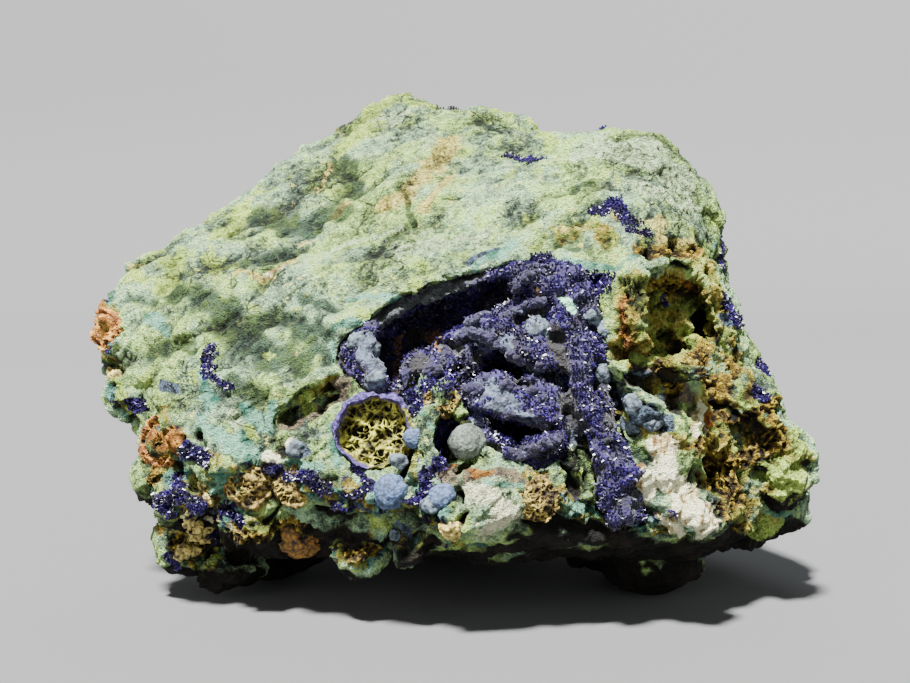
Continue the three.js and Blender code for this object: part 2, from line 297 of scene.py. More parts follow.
# %% Strokes of malachite, of lime-green dust and of pale blue
MALACHITE_STROKES = {
    "above_lip": ([(478, 266), (494, 254), (512, 246)], 8),
    "lip_right": ([(566, 262), (584, 268), (617, 268), (637, 256)], 7),
    "brow_right": ([(712, 246), (716, 236)], 6),
    "cheek_top": ([(764, 406), (780, 420)], 10),
    "chin_left": ([(562, 495), (593, 508), (619, 518)], 8),
    "cream_edge": ([(698, 526), (712, 520)], 6),
    "cheek_low": ([(770, 505), (786, 516)], 9),
    "window_right": ([(468, 412), (474, 430)], 8),
    "rosette": ([(154, 486), (162, 506)], 5),
    "window_left": ([(422, 404), (426, 424), (440, 434)], 5),
    "ledge_top": ([(470, 486), (500, 482), (524, 486)], 4),
    "fold_rim": ([(268, 404), (270, 432)], 5),
    "sheet": ([(214, 474), (232, 482), (238, 508)], 8),
    "mass_left": ([(480, 402), (474, 384), (462, 376)], 4),
    "face_low": ([(204, 424), (228, 438), (250, 452)], 13),
    "face_sheet": ([(244, 404), (262, 424)], 8),
    "ball_side": ([(402, 470), (412, 486)], 5),
    "face_fold": ([(272, 404), (270, 420)], 7),
    "cup_left": ([(334, 426), (332, 444), (339, 462)], 9),
    "belt_top": ([(288, 464), (322, 468)], 6),
    "twin_left": ([(214, 478), (224, 500), (242, 526)], 6),
    "shoulder": ([(166, 499), (171, 474)], 6),
    "left_end": ([(148, 318), (165, 332)], 8),
    "face_middle": ([(204, 376), (211, 402)], 9),
    "slit_edge": ([(328, 342), (338, 360)], 7),
    "lip_left": ([(335, 326), (352, 322), (374, 321)], 5),
    "plate_edge": ([(349, 297), (393, 297), (408, 318)], 6),
}
LIME_STROKES = {
    "slope_edge": ([(238, 212), (222, 232)], 18),
    "peak_left": ([(384, 100), (350, 140)], 22),
    "peak_top": ([(404, 98), (428, 106)], 10),
    "peak_middle": ([(484, 110), (524, 116), (551, 146)], 9),
    "left_slope": ([(184, 254), (166, 282)], 14),
    "left_slope_low": ([(208, 256), (214, 266)], 9),
    "lip_edge": ([(410, 285), (428, 292)], 9),
    "lip_left": ([(356, 310), (368, 314)], 6),
    "face_low": ([(246, 428), (252, 440)], 7),
    "slit_left": ([(303, 396), (310, 410)], 7),
    "left_edge": ([(104, 358), (120, 388), (139, 418)], 7),
    "face_dab": ([(262, 352), (276, 356)], 8),
    "left_top": ([(136, 274), (146, 280)], 8),
    "cheek": ([(752, 456), (790, 484), (778, 530), (750, 540)], 20),
    "cheek_edge": ([(794, 424), (799, 448)], 9),
    "recess_right": ([(724, 342), (747, 408)], 6),
    "recess_left": ([(592, 328), (608, 306)], 8),
    "nook": ([(612, 364), (652, 360)], 5),
    "recess_green": ([(686, 338), (698, 348)], 5),
    "twin_side": ([(292, 478), (308, 488)], 5),
    "under_twins": ([(228, 528), (256, 540)], 6),
    "foot_cream": ([(176, 524), (216, 530)], 8),
    "vein_foot": ([(578, 462), (584, 470)], 7),
    "lip_dab": ([(452, 294), (466, 296)], 7),
    "foot_left": ([(206, 556), (222, 548)], 8),
}
BLUE_STROKES = {
    "knob_high": ([(598, 372), (606, 374)], 7),
    "knob_low": ([(614, 403), (630, 405)], 9),
    "knob_foot": ([(638, 420), (650, 424)], 8),
    "lumps": ([(584, 346), (602, 358)], 7),
    "band": ([(594, 330), (594, 366), (608, 392), (640, 410), (664, 424)], 11),
    "nook_knob": ([(636, 374), (648, 374)], 4),
    "belt": ([(316, 484), (336, 492)], 4),
    "belt_side": ([(352, 500), (372, 508)], 4),
    "cheek": ([(720, 318), (738, 322)], 5),
    "shelf_dab": ([(657, 394), (660, 398)], 4),
    "post": ([(362, 334), (368, 350), (379, 366), (374, 388)], 8),
    "face_dab": ([(160, 384), (170, 388)], 7),
    "fold_dab": ([(296, 449), (304, 452)], 6),
    "tuft": ([(402, 528), (409, 546)], 8),
    "strip": ([(470, 262), (496, 250)], 5),
}
print("malachite, lime and blue strokes:", len(MALACHITE_STROKES), len(LIME_STROKES), len(BLUE_STROKES))

# %% [markdown]
# Ochre and rust are limonite, the iron that stays where the ore has been leached out. Peach is its thin pale dust on
# the slope and on the brow.

# %% Strokes of ochre, of peach and of rust
OCHRE_STROKES = {
    "recess_left": ([(622, 300), (625, 328), (633, 350)], 9),
    "recess_top": ([(655, 278), (688, 286)], 14),
    "recess_foot": ([(658, 366), (672, 388)], 9),
    "recess_right": ([(700, 346), (712, 398), (736, 366)], 12),
    "cheek": ([(698, 444), (726, 462), (752, 452), (772, 430)], 18),
    "cheek_low": ([(700, 478), (740, 492), (726, 512)], 13),
    "cheek_edge": ([(714, 416), (748, 422), (780, 400)], 9),
    "edge_gold": ([(728, 270), (735, 288), (742, 300)], 8),
    "brown_knob": ([(540, 478), (542, 492)], 11),
    "shoulder": ([(148, 440), (182, 438)], 12),
    "shoulder_low": ([(146, 458), (156, 482)], 8),
    "foot_amber": ([(160, 518), (160, 532)], 7),
    "foot": ([(180, 545), (198, 550)], 11),
    "twin_left": ([(238, 480), (262, 494)], 14),
    "twin_right": ([(288, 486), (298, 492)], 9),
    "amber_ball": ([(290, 531), (300, 531)], 14),
    "under_twins": ([(240, 534), (262, 538)], 12),
    "belly": ([(350, 550), (372, 550)], 9),
    "window": ([(401, 334), (399, 362)], 6),
    "small_nodule": ([(438, 406), (444, 411)], 8),
    "brow_golden": ([(638, 250), (696, 254)], 7),
    "shoulder_gold": ([(200, 492), (213, 497)], 4),
}
PEACH_STROKES = {
    "slope": ([(452, 142), (430, 168), (404, 194), (386, 206)], 15),
    "slope_right": ([(450, 176), (424, 208)], 8),
    "slope_dab": ([(330, 164), (318, 188)], 4),
    "face_streak": ([(304, 256), (263, 277), (236, 272)], 5),
    "left_slope": ([(128, 266), (146, 258)], 4),
    "slope_flecks": ([(246, 176), (258, 170)], 4),
    "slope_low": ([(344, 204), (330, 222)], 5),
    "brow": ([(562, 232), (584, 226)], 9),
    "brow_middle": ([(616, 214), (640, 222), (664, 218)], 7),
    "brow_right": ([(660, 236), (692, 246)], 7),
    "cheek_pink": ([(700, 400), (694, 430)], 7),
    "cup_left": ([(360, 408), (374, 404)], 5),
    "edge": ([(728, 270), (735, 288), (742, 300)], 7),
    "foot": ([(172, 532), (200, 538)], 5),
}
RUST_STROKES = {
    "left_edge": ([(104, 290), (104, 312), (112, 330)], 8),
    "shoulder": ([(160, 448), (176, 450)], 6),
    "cheek_pit": ([(700, 418), (708, 421)], 7),
    "recess": ([(618, 296), (624, 330), (632, 354)], 6),
    "recess_top": ([(684, 278), (692, 292)], 5),
    "foot": ([(186, 547), (194, 551)], 4),
    "under_grey": ([(442, 470), (488, 471)], 5),
    "shoulder_nodule": ([(146, 432), (180, 440)], 10),
}
print("ochre, peach and rust strokes:", len(OCHRE_STROKES), len(PEACH_STROKES), len(RUST_STROKES))

# %% [markdown]
# The cream chunk at the foot of the vein is a fibrous mineral, and chalk is a fine white bloom, as on the ledge.
# Where the grains are too small and too many to be dabbed one by one, a stroke stands for a medley of them: mixed is
# ochre, teal and azurite together, in the belt under the hollow, and earthy is ochre and moss green, in the recess
# and on the cheek.

# %% Strokes of cream, of chalk and of the two medleys
CREAM_STROKES = {
    "chunk": ([(664, 450), (668, 478), (682, 500), (706, 516)], 18),
    "chunk_left": ([(642, 468), (650, 496)], 10),
    "chunk_foot": ([(660, 514), (684, 530)], 9),
    "cheek_pink": ([(698, 404), (696, 434)], 6),
    "fold_pink": ([(268, 454), (276, 458)], 7),
    "fold": ([(292, 444), (300, 446)], 7),
    "streak": ([(268, 274), (284, 270)], 4),
}
CHALK_STROKES = {
    "ledge": ([(472, 492), (498, 496), (508, 514), (486, 528)], 15),
    "cup_top": ([(350, 408), (374, 403)], 4),
    "lumps": ([(576, 316), (600, 328)], 5),
    "foot": ([(178, 520), (206, 526)], 4),
    "twins": ([(226, 528), (244, 536)], 4),
}
MIXED_STROKES = {
    "shoulder": ([(160, 436), (172, 470), (186, 510), (196, 552)], 26),
    "shoulder_right": ([(214, 470), (224, 510), (236, 548)], 18),
    "belt": ([(250, 474), (300, 484), (346, 502), (408, 512), (440, 514)], 15),
    "chin": ([(530, 480), (560, 500), (610, 514), (660, 524)], 15),
    "left_end": ([(106, 296), (104, 340), (112, 384), (134, 414)], 11),
    "belt_low": ([(250, 522), (300, 540), (360, 552), (420, 540), (470, 544)], 12),
    "cup_right": ([(410, 452), (412, 482), (428, 500)], 8),
    "cup_under": ([(344, 484), (372, 494), (398, 490)], 8),
}
EARTHY_STROKES = {
    "cheek": ([(716, 408), (722, 470), (740, 510)], 30),
    "cheek_right": ([(762, 410), (782, 452), (778, 512), (756, 540)], 28),
    "recess": ([(632, 296), (660, 290), (692, 300), (700, 340), (664, 368), (634, 352)], 28),
    "recess_back": ([(660, 310), (676, 340)], 20),
    "recess_rim": ([(708, 262), (728, 320), (744, 372)], 14),
    "brow": ([(560, 232), (590, 222), (612, 244)], 10),
    "brow_right": ([(640, 250), (676, 244), (700, 262)], 11),
    "knobs": ([(596, 336), (596, 392), (640, 424), (676, 440)], 12),
    "peach_slope": ([(452, 140), (424, 172), (386, 206)], 10),
    "slit": ([(306, 396), (330, 380)], 8),
}
print("cream and chalk strokes:", len(CREAM_STROKES), len(CHALK_STROKES))
print("mixed and earthy strokes:", len(MIXED_STROKES), len(EARTHY_STROKES))

# %% [markdown]
# Not every stroke is a mineral. Some darken the stone, partly as painted shade and partly as darker stone, some
# lighten it, some open a gap in it that is painted nearly black as shade, and some show the bare broken stone or
# paint the underside dark brown as shade.

# %% Strokes of shade, of gaps, of pale stone, of bare stone and of the underside's painted shade
# Partly painted shade, under folds, in dents and on the face, and partly darker stone.
DARK_STROKES = {
    "slope": ([(256, 214), (298, 224), (338, 214)], 22),
    "slope_low": ([(290, 252), (250, 262)], 13),
    "left": ([(176, 288), (220, 306)], 18),
    "left_low": ([(150, 352), (196, 340)], 9),
    "dents": ([(244, 322), (282, 316), (300, 328)], 12),
    "dent_right": ([(314, 322), (326, 334)], 9),
    "slope_high": ([(336, 150), (356, 192)], 13),
    "slope_middle": ([(404, 188), (414, 232)], 5),
    "ridge": ([(474, 118), (500, 128)], 8),
    "left_face": ([(128, 300), (150, 302)], 7),
    "face_line": ([(168, 348), (196, 352)], 4),
    "face": ([(232, 326), (262, 352), (302, 362)], 22),
    "face_low": ([(232, 384), (258, 396)], 10),
    "face_right": ([(306, 332), (324, 356)], 12),
    "face_high": ([(300, 296), (334, 306)], 9),
    "brow_teal": ([(556, 242), (576, 246)], 6),
    "right_slope": ([(560, 196), (590, 180)], 6),
    "vein_side": ([(578, 430), (588, 468), (598, 508)], 8),
    "folds": ([(650, 388), (676, 404), (690, 430)], 9),
    "beside_knobs": ([(630, 444), (646, 458)], 8),
}
# The gap strokes sink the stone and are painted nearly black, as shade.
GAP_STROKES = {
    "fold": ([(196, 432), (205, 444)], 3),
    "shoulder": ([(168, 464), (182, 470)], 6),
    "pocket": ([(699, 318), (699, 332)], 7),
    "recess_top": ([(664, 266), (688, 268)], 5),
    "nook": ([(614, 377), (646, 380)], 6),
    "knob_gap": ([(606, 388), (630, 390), (656, 408)], 4),
    "cheek_gap": ([(694, 430), (702, 452), (706, 476)], 3),
    "cheek_crack": ([(726, 404), (738, 418)], 3),
    "brow": ([(592, 227), (614, 231)], 2),
    "shoulder_gap": ([(214, 540), (240, 558), (286, 560)], 8),
    "twin_gap": ([(272, 494), (280, 508), (268, 520)], 4),
    "belt_gap": ([(316, 512), (346, 522), (366, 516)], 7),
    "cup_gap": ([(376, 480), (400, 474), (414, 446)], 3),
    "ledge_gap": ([(456, 486), (464, 510), (460, 526)], 3),
    "knob_under": ([(612, 420), (640, 436)], 4),
    "belt_gap_right": ([(408, 520), (424, 528)], 5),
    "chin_gap": ([(528, 524), (560, 524), (600, 532)], 6),
    "blade_gap": ([(566, 450), (574, 480), (584, 500)], 5),
    "slit": ([(326, 386), (320, 410)], 6),
}
PALE_STROKES = {
    "ledge": ([(474, 490), (500, 494), (510, 514), (488, 528)], 19),
    "lip_rim": ([(420, 296), (450, 282), (486, 262)], 5),
    "belt_top": ([(262, 460), (300, 462)], 4),
    "plate": ([(404, 250), (446, 244), (480, 238)], 15),
    "face": ([(230, 416), (250, 424)], 9),
    "lumps": ([(578, 316), (602, 330)], 8),
    "peak_right": ([(600, 150), (650, 150), (680, 176)], 26),
    "peak_right_low": ([(640, 186), (690, 206)], 16),
    "peak_left": ([(380, 122), (404, 112)], 12),
    "slope_line": ([(300, 268), (352, 246), (400, 226)], 5),
}
STONE_STROKES = {
    "slit": ([(350, 376), (328, 408), (290, 426)], 9),
    "under_column": ([(440, 476), (476, 472)], 11),
    "folds": ([(662, 398), (686, 410), (700, 430)], 10),
    "window": ([(424, 400), (430, 386)], 6),
    "grey_left": ([(438, 452), (444, 474)], 8),
    "shelf_high": ([(640, 374), (668, 380), (690, 398)], 12),
    "mass_foot": ([(486, 470), (520, 480)], 9),
    "shelf": ([(655, 384), (676, 408)], 8),
}
# Painted shade: these strokes paint the underside and the foot of the lump dark brown.
UNDERSIDE_SHADE_STROKES = {
    "belt_under": ([(312, 532), (350, 536), (392, 542)], 9),
    "foot_right_top": ([(606, 560), (650, 566), (690, 562)], 14),
    "chin_top": ([(520, 538), (560, 537), (600, 541), (650, 549), (704, 553)], 13),
    "ledge_under": ([(424, 557), (480, 553), (520, 546), (564, 542)], 18),
    "foot_right_low": ([(606, 584), (650, 588), (690, 580)], 18),
    "cheek_foot": ([(716, 560), (760, 552)], 10),
    "chin": ([(530, 524), (570, 530), (612, 536), (660, 546), (702, 552)], 12),
    "foot_right": ([(600, 566), (660, 578), (704, 566)], 26),
    "chin_low": ([(430, 554), (500, 550), (560, 550), (640, 562)], 14),
    "belly": ([(250, 560), (310, 562), (338, 546)], 8),
    "belly_right": ([(388, 560), (424, 552), (436, 540)], 9),
    "cheek_low": ([(712, 542), (744, 548)], 9),
    "foot": ([(192, 574), (222, 585), (264, 574)], 12),
    "belly_rim": ([(328, 572), (370, 576), (404, 562), (432, 562)], 9),
    "twins_under": ([(236, 558), (268, 552), (284, 546)], 7),
}
print("dark, gap and pale strokes:", len(DARK_STROKES), len(GAP_STROKES), len(PALE_STROKES))
print("stone and stain strokes:", len(STONE_STROKES), len(UNDERSIDE_SHADE_STROKES))

# %% [markdown]
# ## From the picture to the surface
#
# A stroke is walked in short steps, and each step is sent out along its line of sight. Where it meets the surface it
# leaves a spot, whose reach is the stroke's width at that distance. A vertex counts how many reaches it is away from
# its nearest spot: all of the mineral has grown near the path, and none a reach and a half away. Two noises keep
# this from looking painted, one that bends the strokes and one that frays their edges.

# %% Send the strokes to the surface
STEP_SHARE = 0.4
MOST_REACH = 2.6
FAR_AWAY = 9.0
FULL_AT = 0.2
NONE_AT = 1.6
FRAY_WIDTH = 4.0
FRAY = 0.7
WANDER_MM = 0.9
WANDER_WIDTH = 5.0


def stroke_spots(path, width, tree):
    """The points in millimetres where a stroke's path meets a surface, and its reach at each of them."""
    spots, reaches = [], []
    for (x0, y0), (x1, y1) in zip(path, path[1:]):
        steps = max(1, round(math.hypot(x1 - x0, y1 - y0) / (width * STEP_SHARE)))
        for step in range(steps + 1):
            share = step / steps
            ray = sight_line(x0 + (x1 - x0) * share, y0 + (y1 - y0) * share)
            hit, _, _, far = tree.ray_cast(CAMERA_PLACE, ray)
            if hit is not None:
                spots.append(hit / MM)
                reaches.append(width * far / MM / FOCAL_PIXELS)
    return np.array(spots).reshape(-1, 3), np.array(reaches)


def wandering(points):
    """The points moved a little in smooth noise, so that a straight stroke measured from them becomes crooked."""
    shifts = [waves(points, WANDER_WIDTH, 2, 50.0 + 9 * axis) for axis in range(3)]
    return points + WANDER_MM * np.stack(shifts, axis=1)


def grown(points, wandered, strokes, tree, seed):
    """From 0 to 1, how much of a mineral has grown at each point."""
    nearest = np.full(len(points), FAR_AWAY)
    for path, width in strokes.values():
        spots, reaches = stroke_spots(path, width, tree)
        if not len(spots):
            continue
        margin = reaches.max() * MOST_REACH
        low, high = spots.min(axis=0), spots.max(axis=0)
        beside = np.abs(wandered - (low + high) / 2)
        near = np.nonzero((beside < (high - low) / 2 + margin).all(axis=1))[0]
        for spot, reach in zip(spots, reaches):
            share = np.linalg.norm(wandered[near] - spot, axis=1) / reach
            nearest[near] = np.minimum(nearest[near], share)
    frayed = nearest + FRAY * waves(points, FRAY_WIDTH, 3, seed)
    return 1 - smooth_step(FULL_AT, NONE_AT, frayed)


MINERALS = {
    "azurite": AZURITE_STROKES,
    "malachite": MALACHITE_STROKES,
    "lime": LIME_STROKES,
    "blue": BLUE_STROKES,
    "ochre": OCHRE_STROKES,
    "rust": RUST_STROKES,
    "cream": CREAM_STROKES,
    "stone": STONE_STROKES,
    "chalk": CHALK_STROKES,
    "mixed": MIXED_STROKES,
    "earthy": EARTHY_STROKES,
    "peach": PEACH_STROKES,
    "dark": DARK_STROKES,
    "gap": GAP_STROKES,
    "pale": PALE_STROKES,
    "under": UNDERSIDE_SHADE_STROKES,
}
print("minerals:", list(MINERALS), "fray", FRAY, "over", FRAY_WIDTH, "mm")

# %% [markdown]
# ## The sides that the photograph doesn't show
#
# The back and the ends carry the same minerals, so broad noise spreads them there in patches, each kind with its own
# width and its own share of the surface. The underside is painted dark brown, as painted shade.

# %% Minerals at each vertex
BACK_FROM = 6.0
BACK_TO = 18.0
BACK_FACING = (-0.35, 0.1)
BACK_SHARE = 0.62
PATCH_EDGE = 0.25
UNDER_SLOPE = (0.3, 0.8)
UNDER_HEIGHT = (26, 46)
UNDER_FRONT = (-44, -34)
SEED_STEP = 3.7
SPREAD = {
    "azurite": (15.0, 0.52, 61.0),
    "malachite": (24.0, 0.26, 62.0),
    "lime": (30.0, 0.18, 63.0),
    "ochre": (27.0, 0.22, 64.0),
    "rust": (18.0, 0.42, 65.0),
    "mixed": (32.0, 0.22, 66.0),
    "earthy": (28.0, 0.12, 67.0),
}


def minerals_at(points, normals):
    """A field from 0 to 1 for each mineral, and one for the underside that is painted dark as shade."""
    wandered = wandering(points)
    found = {
        name: grown(points, wandered, strokes, rock_tree, SEED_STEP * number)
        for number, (name, strokes) in enumerate(MINERALS.items(), start=1)
    }
    behind = smooth_step(BACK_FROM, BACK_TO, points[:, 1]) * smooth_step(*BACK_FACING, normals[:, 1])
    for name, (width, above, seed) in SPREAD.items():
        patches = smooth_step(above, above + PATCH_EDGE, waves(points, width, 3, seed))
        found[name] = np.maximum(found[name], BACK_SHARE * patches * behind)
    # Painted shade: faces turned down, low on the lump, are marked for dark brown.
    lowness = 1 - smooth_step(*UNDER_HEIGHT, points[:, 2])
    underside = smooth_step(*UNDER_SLOPE, -normals[:, 2]) * lowness * smooth_step(*UNDER_FRONT, points[:, 1])
    found["under"] = np.maximum(found["under"], underside)
    return found


print("spread behind:", list(SPREAD))

# %% [markdown]
# ## Breakage and growth
#
# Rock breaks in chips: small tilted planes with steps between them. Each chip belongs to one of many scattered
# seeds, and gets a height and a tilt of its own. The noise for the flakes is stretched along the direction in which
# the streaks of the photograph run, up to the right. Where iron has leached out, thin walls of limonite are left
# round open cells, like a honeycomb: the difference between the distances to the second nearest and the nearest
# seed is zero on such walls. Azurite grows as small round tufts, and the cream mineral in upright fibres. The
# medleys crumble into lumps, with a coarse sponge of hollows under them.

# %% Shapes of breakage
GRAIN = Vector((0.80, 0.12, 0.58)).normalized()
GRAIN_STRETCH = 2.6
FIBRE_RUN = Vector((0.25, 0.1, 1.0)).normalized()


def stretched(points, direction, amount):
    """Points squeezed along a direction, so that noise read there is drawn out along it."""
    along = points @ np.array(direction)
    return points - np.outer(along * (1 - 1 / amount), np.array(direction))


def chips(points, size, offset=0.0):
    """Heights of small tilted planes with steps between them, from about -1 to 1."""
    heights = []
    for p in (points / size + offset).tolist():
        seed = noise.voronoi(p)[1][0]
        tilt = noise.cell_vector(seed * 61.7) * 2 - Vector((1, 1, 1))
        heights.append(noise.cell(seed * 93.1) * 0.7 + (Vector(p) - seed).dot(tilt))
    return np.array(heights)


def billows(points, width, octaves=1, offset=0.0):
    """Round bumps with sharp creases between them, from about -1 to 0.3."""
    return 0.3 - 1.6 * np.abs(waves(points, width, octaves, offset))


def comb(points, size, offset):
    """1 on the thin walls between scattered cells and 0 inside the cells."""
    bend = np.stack([waves(points, size * 1.1, 2, 9.0 + 30 * axis) for axis in range(3)], axis=1)
    nearest, second = cells(points + 0.5 * size * bend, size, offset)
    return 1 - smooth_step(0.03, 0.27, second - nearest)


print("grain runs along", tuple(round(v, 2) for v in GRAIN))

# %% [markdown]
# All of it is added up in millimetres along each vertex's normal. Every form has a width, at which its noise is read,
# and a height or a depth. The feet stay flat where they touch the ground, because nothing moves there. Two trims
# take a little off places where the noise would pass the size of the solid model.

# %% Weather a skin
ROUGH_WAVES = ((10.0, 0.8), (4.5, 0.3))
CHIPS = ((6.5, 0.5), (3.0, 0.36), (1.5, 0.24))
BILLOW_MM = 2.3
BILLOW_HEIGHT = 0.4
RIDGE_MM = 5.0
FLAKE_PATCH_MM = 22.0
FLAKE_HEIGHT = 0.5
CRUMB_MM = 1.5
CRUMB_HEIGHT = 0.45
LUMP_MM = 3.2
LUMP_HEIGHT = 0.6
SPONGE_MM = 6.5
SPONGE_DEPTH = 2.6
CELL_MM = 2.1
CELL_DEPTH = 1.3
SMALL_CELL_MM = 1.15
SMALL_CELL_DEPTH = 0.5
HOLE_PATCH_MM = 6.0
TUFT_MM = 1.7
TUFT_HEIGHT = 0.5
FIBRE_MM = 2.2
FIBRE_STRETCH = 5.0
FIBRE_HEIGHT = 1.1
CREAM_RAISE = 1.0
DENT_DEPTH = 0.9
GAP_DEPTH = 2.4
FOOT_HEIGHT = 2.5
TRIMS = {
    "saddle": ((24.4, 17.5, 98.0), 12.0, 2.8),
    "shoulder": ((-67.0, -10.0, 21.0), 9.0, 2.4),
}


def weathered(points, found):
    """How far each point moves out of the surface, with what the finish reads: the fine relief and the walls."""
    along_grain = stretched(points, GRAIN, GRAIN_STRETCH)
    rough = sum(height * waves(points, width, 2, 7.0) for width, height in ROUGH_WAVES)
    rough += sum(height * chips(along_grain, size, size) for size, height in CHIPS)
    crests = billows(along_grain, BILLOW_MM * 2, 2, 3.0) + billows(points, BILLOW_MM, 2, 15.0)
    ridges = 1 - 2 * np.abs(waves(along_grain, RIDGE_MM, 2, 21.0))
    flaking = smooth_step(-0.5, 0.3, waves(points, FLAKE_PATCH_MM, 1, 5.0))
    fine = 0.5 * BILLOW_HEIGHT * crests + FLAKE_HEIGHT * (ridges - 0.5) * flaking

    crumbly = np.maximum(found["mixed"], found["earthy"])
    broken = np.maximum.reduce([crumbly] + [found[name] for name in ("ochre", "rust", "peach", "lime")])
    fine += CRUMB_HEIGHT * (0.4 + 0.8 * broken) * waves(points, CRUMB_MM, 2, 71.0)
    fine += LUMP_HEIGHT * crumbly * waves(points, LUMP_MM, 2, 75.0)

    sponge = crumbly * SPONGE_DEPTH * (billows(points, SPONGE_MM, 2, 44.0) + 0.1)
    walls = comb(points, CELL_MM, 0.0)
    small_walls = comb(points, SMALL_CELL_MM, 4.0)
    combed = np.maximum(found["ochre"], 0.5 * crumbly)
    patchy = 0.6 + 0.6 * waves(points, HOLE_PATCH_MM, 1, 31.0)
    holes = combed * ((walls - 0.75) * CELL_DEPTH * patchy + (small_walls - 0.6) * SMALL_CELL_DEPTH)

    tuft_near, _ = cells(points, TUFT_MM, 4.0)
    tufts = found["azurite"] * (0.6 - tuft_near) * 2 * TUFT_HEIGHT
    fibres = FIBRE_HEIGHT * waves(stretched(points, FIBRE_RUN, FIBRE_STRETCH), FIBRE_MM, 3, 41.0)
    fibres = found["cream"] * (CREAM_RAISE + fibres)
    calm = 1 - 0.6 * np.maximum(found["blue"], 0.5 * found["cream"])
    moved = (rough + fine) * calm + sponge + holes + tufts + fibres
    moved -= DENT_DEPTH * found["dark"] + GAP_DEPTH * found["gap"]
    for at, reach, depth in TRIMS.values():
        moved -= depth * (1 - smooth_step(0, reach, np.linalg.norm(points - np.array(at), axis=1)))
    moved *= smooth_step(0.2, FOOT_HEIGHT, points[:, 2])
    return moved, fine + 0.6 * rough + 0.4 * sponge + holes, 0.6 * walls + 0.4 * small_walls


print("trims:", list(TRIMS))

# %% [markdown]
# The nodules and the balls of the solid model are made again as pieces of their own, finer than a skin can be, at
# about the same places. Each has a centre and a radius in millimetres.

# %% Places of the nodules and the balls
NODULES = {
    "cupped": ((-14.1, -40.1, 36.0), 7.5),
    "twin_left": ((-37.6, -34.1, 26.0), 5.4),
    "twin_right": ((-29.1, -38.6, 26.0), 4.0),
    "shoulder_rust": ((-56.6, -22.1, 31.5), 5.4),
    "small": ((-2.0, -40.6, 41.5), 3.0),
    "brown": ((14.9, -47.6, 25.0), 4.0),
    "left_end": ((-70.6, -6.6, 53.0), 4.4),
}
BALLS = {
    "blue_large": ((-11.1, -47.6, 26.2), 3.2),
    "blue_small": ((-1.8, -49.1, 25.4), 2.5),
    "blue_high": ((-7.0, -44.6, 35.4), 2.1),
    "grey_large": ((2.6, -44.6, 34.5), 3.4),
    "amber": ((-29.1, -30.6, 15.0), 4.6),
}
print("nodules:", list(NODULES), "balls:", list(BALLS))

# %% [markdown]
# Where a nodule or a ball is a piece of its own, the skin is drawn in below it, so that the coarser surface doesn't
# show through. The cup is hollow, so there the skin is pushed straight back along the way that the cup faces, till
# it lies behind the cup's floor.

# %% Weather every skin
SUNK_REACH = 1.15
SUNK_TO = 0.75
CUP_FACING = Vector((-0.05, -1.0, 0.15)).normalized()
CUP_CLEAR = 7.0
CUP_SPAN = 1.6
CUP_BEHIND = 2.0
ZONE_SINK = 1.6


def keep_field(mesh, name, values):
    """Stores a number for each vertex, for a material to read by this name."""
    mesh.attributes.new(name, "FLOAT", "POINT").data.foreach_set("value", values.astype(np.float32))


def weather(piece, box=None):
    """Moves a skin's vertices and stores the fields that its finish reads."""
    points, normals = points_and_normals(piece.data)
    found = minerals_at(points, normals)
    moved, relief, walls = weathered(points, found)
    if box is None:
        moved -= ZONE_SINK * np.maximum.reduce([within(points, zone) for zone in ZONES.values()])
    else:
        moved -= ZONE_SINK * (1 - within(points, box))
    points += normals * moved[:, None]
    for name, (at, radius) in {**NODULES, **BALLS}.items():
        away = points - np.array(at)
        distance = np.linalg.norm(away, axis=1)
        if name == "cupped":
            way = np.array(CUP_FACING)
            ahead = away @ way
            aside = np.linalg.norm(away - np.outer(ahead, way), axis=1)
            inside = (aside < CUP_CLEAR) & (distance < radius * CUP_SPAN)
            points[inside] -= np.outer(np.maximum(ahead[inside] + CUP_BEHIND, 0), way)
        else:
            inside = distance < radius * SUNK_REACH
            shrunk = np.minimum(1, radius * SUNK_TO / distance[inside])
            points[inside] = np.array(at) + away[inside] * shrunk[:, None]
    points[:, 2] = np.maximum(points[:, 2], 0)
    set_points(piece.data, points)
    for name, field in {**found, "relief": relief, "comb_wall": walls}.items():
        keep_field(piece.data, name, field)
    piece.data.shade_smooth()
    return found


rock_minerals = weather(rock)
zone_minerals = [weather(piece, ZONES[piece.name]) for piece in zone_skins]
print("shares:", {name: round(float(field.mean()), 3) for name, field in rock_minerals.items()})

# %% [markdown]
# ## The azurite crust
#
# The hollow's lining is a crust of tiny azurite crystals, like velvet, with ribs and balls of the same growth across
# it. Its skin gets squares of 0.5 mm, two sizes of round tufts, and billows drawn out up to the right, as the ropes
# of azurite run there. It gets strokes of its own, cast onto the crust instead of the rock. They dust some ribs with
# grey-blue, stain spots brown or malachite green, and leave the stone under the lip bare, painted dark as shade.
# Others sink the crust: a little, where a gap between the ribs lies in gloom and is painted nearly black as shade, or
# deep into the rock, where it would reach past the vein.

# %% The crust's skin
CRUST_VOXEL = 0.5
CRUST_SWELL = 0.35
CRUST_WAVE_MM = 5.0
CRUST_WAVE_HEIGHT = 0.7
CRUST_TUFTS = ((2.6, 0.5), (1.2, 0.35))
ROPE_RUN = Vector((0.75, -0.1, 0.5)).normalized()
ROPE_STRETCH = 3.0
ROPE_MM = 5.5
ROPE_HEIGHT = 0.9
HIDE_DEPTH = 5.0
GLOOM_DEPTH = 1.8
LIP_BACK = 3.2
DUST_STROKES = {
    "post": ([(358, 332), (372, 350), (379, 372), (373, 394)], 14),
    "rib": ([(470, 334), (505, 350), (530, 368), (556, 378)], 10),
    "mass": ([(486, 388), (504, 396), (520, 402)], 9),
    "mass_low": ([(492, 408), (516, 414), (544, 424)], 8),
    "blade": ([(500, 470), (530, 452), (556, 440)], 4),
    "strip": ([(556, 340), (562, 372), (566, 404), (576, 440)], 5),
}
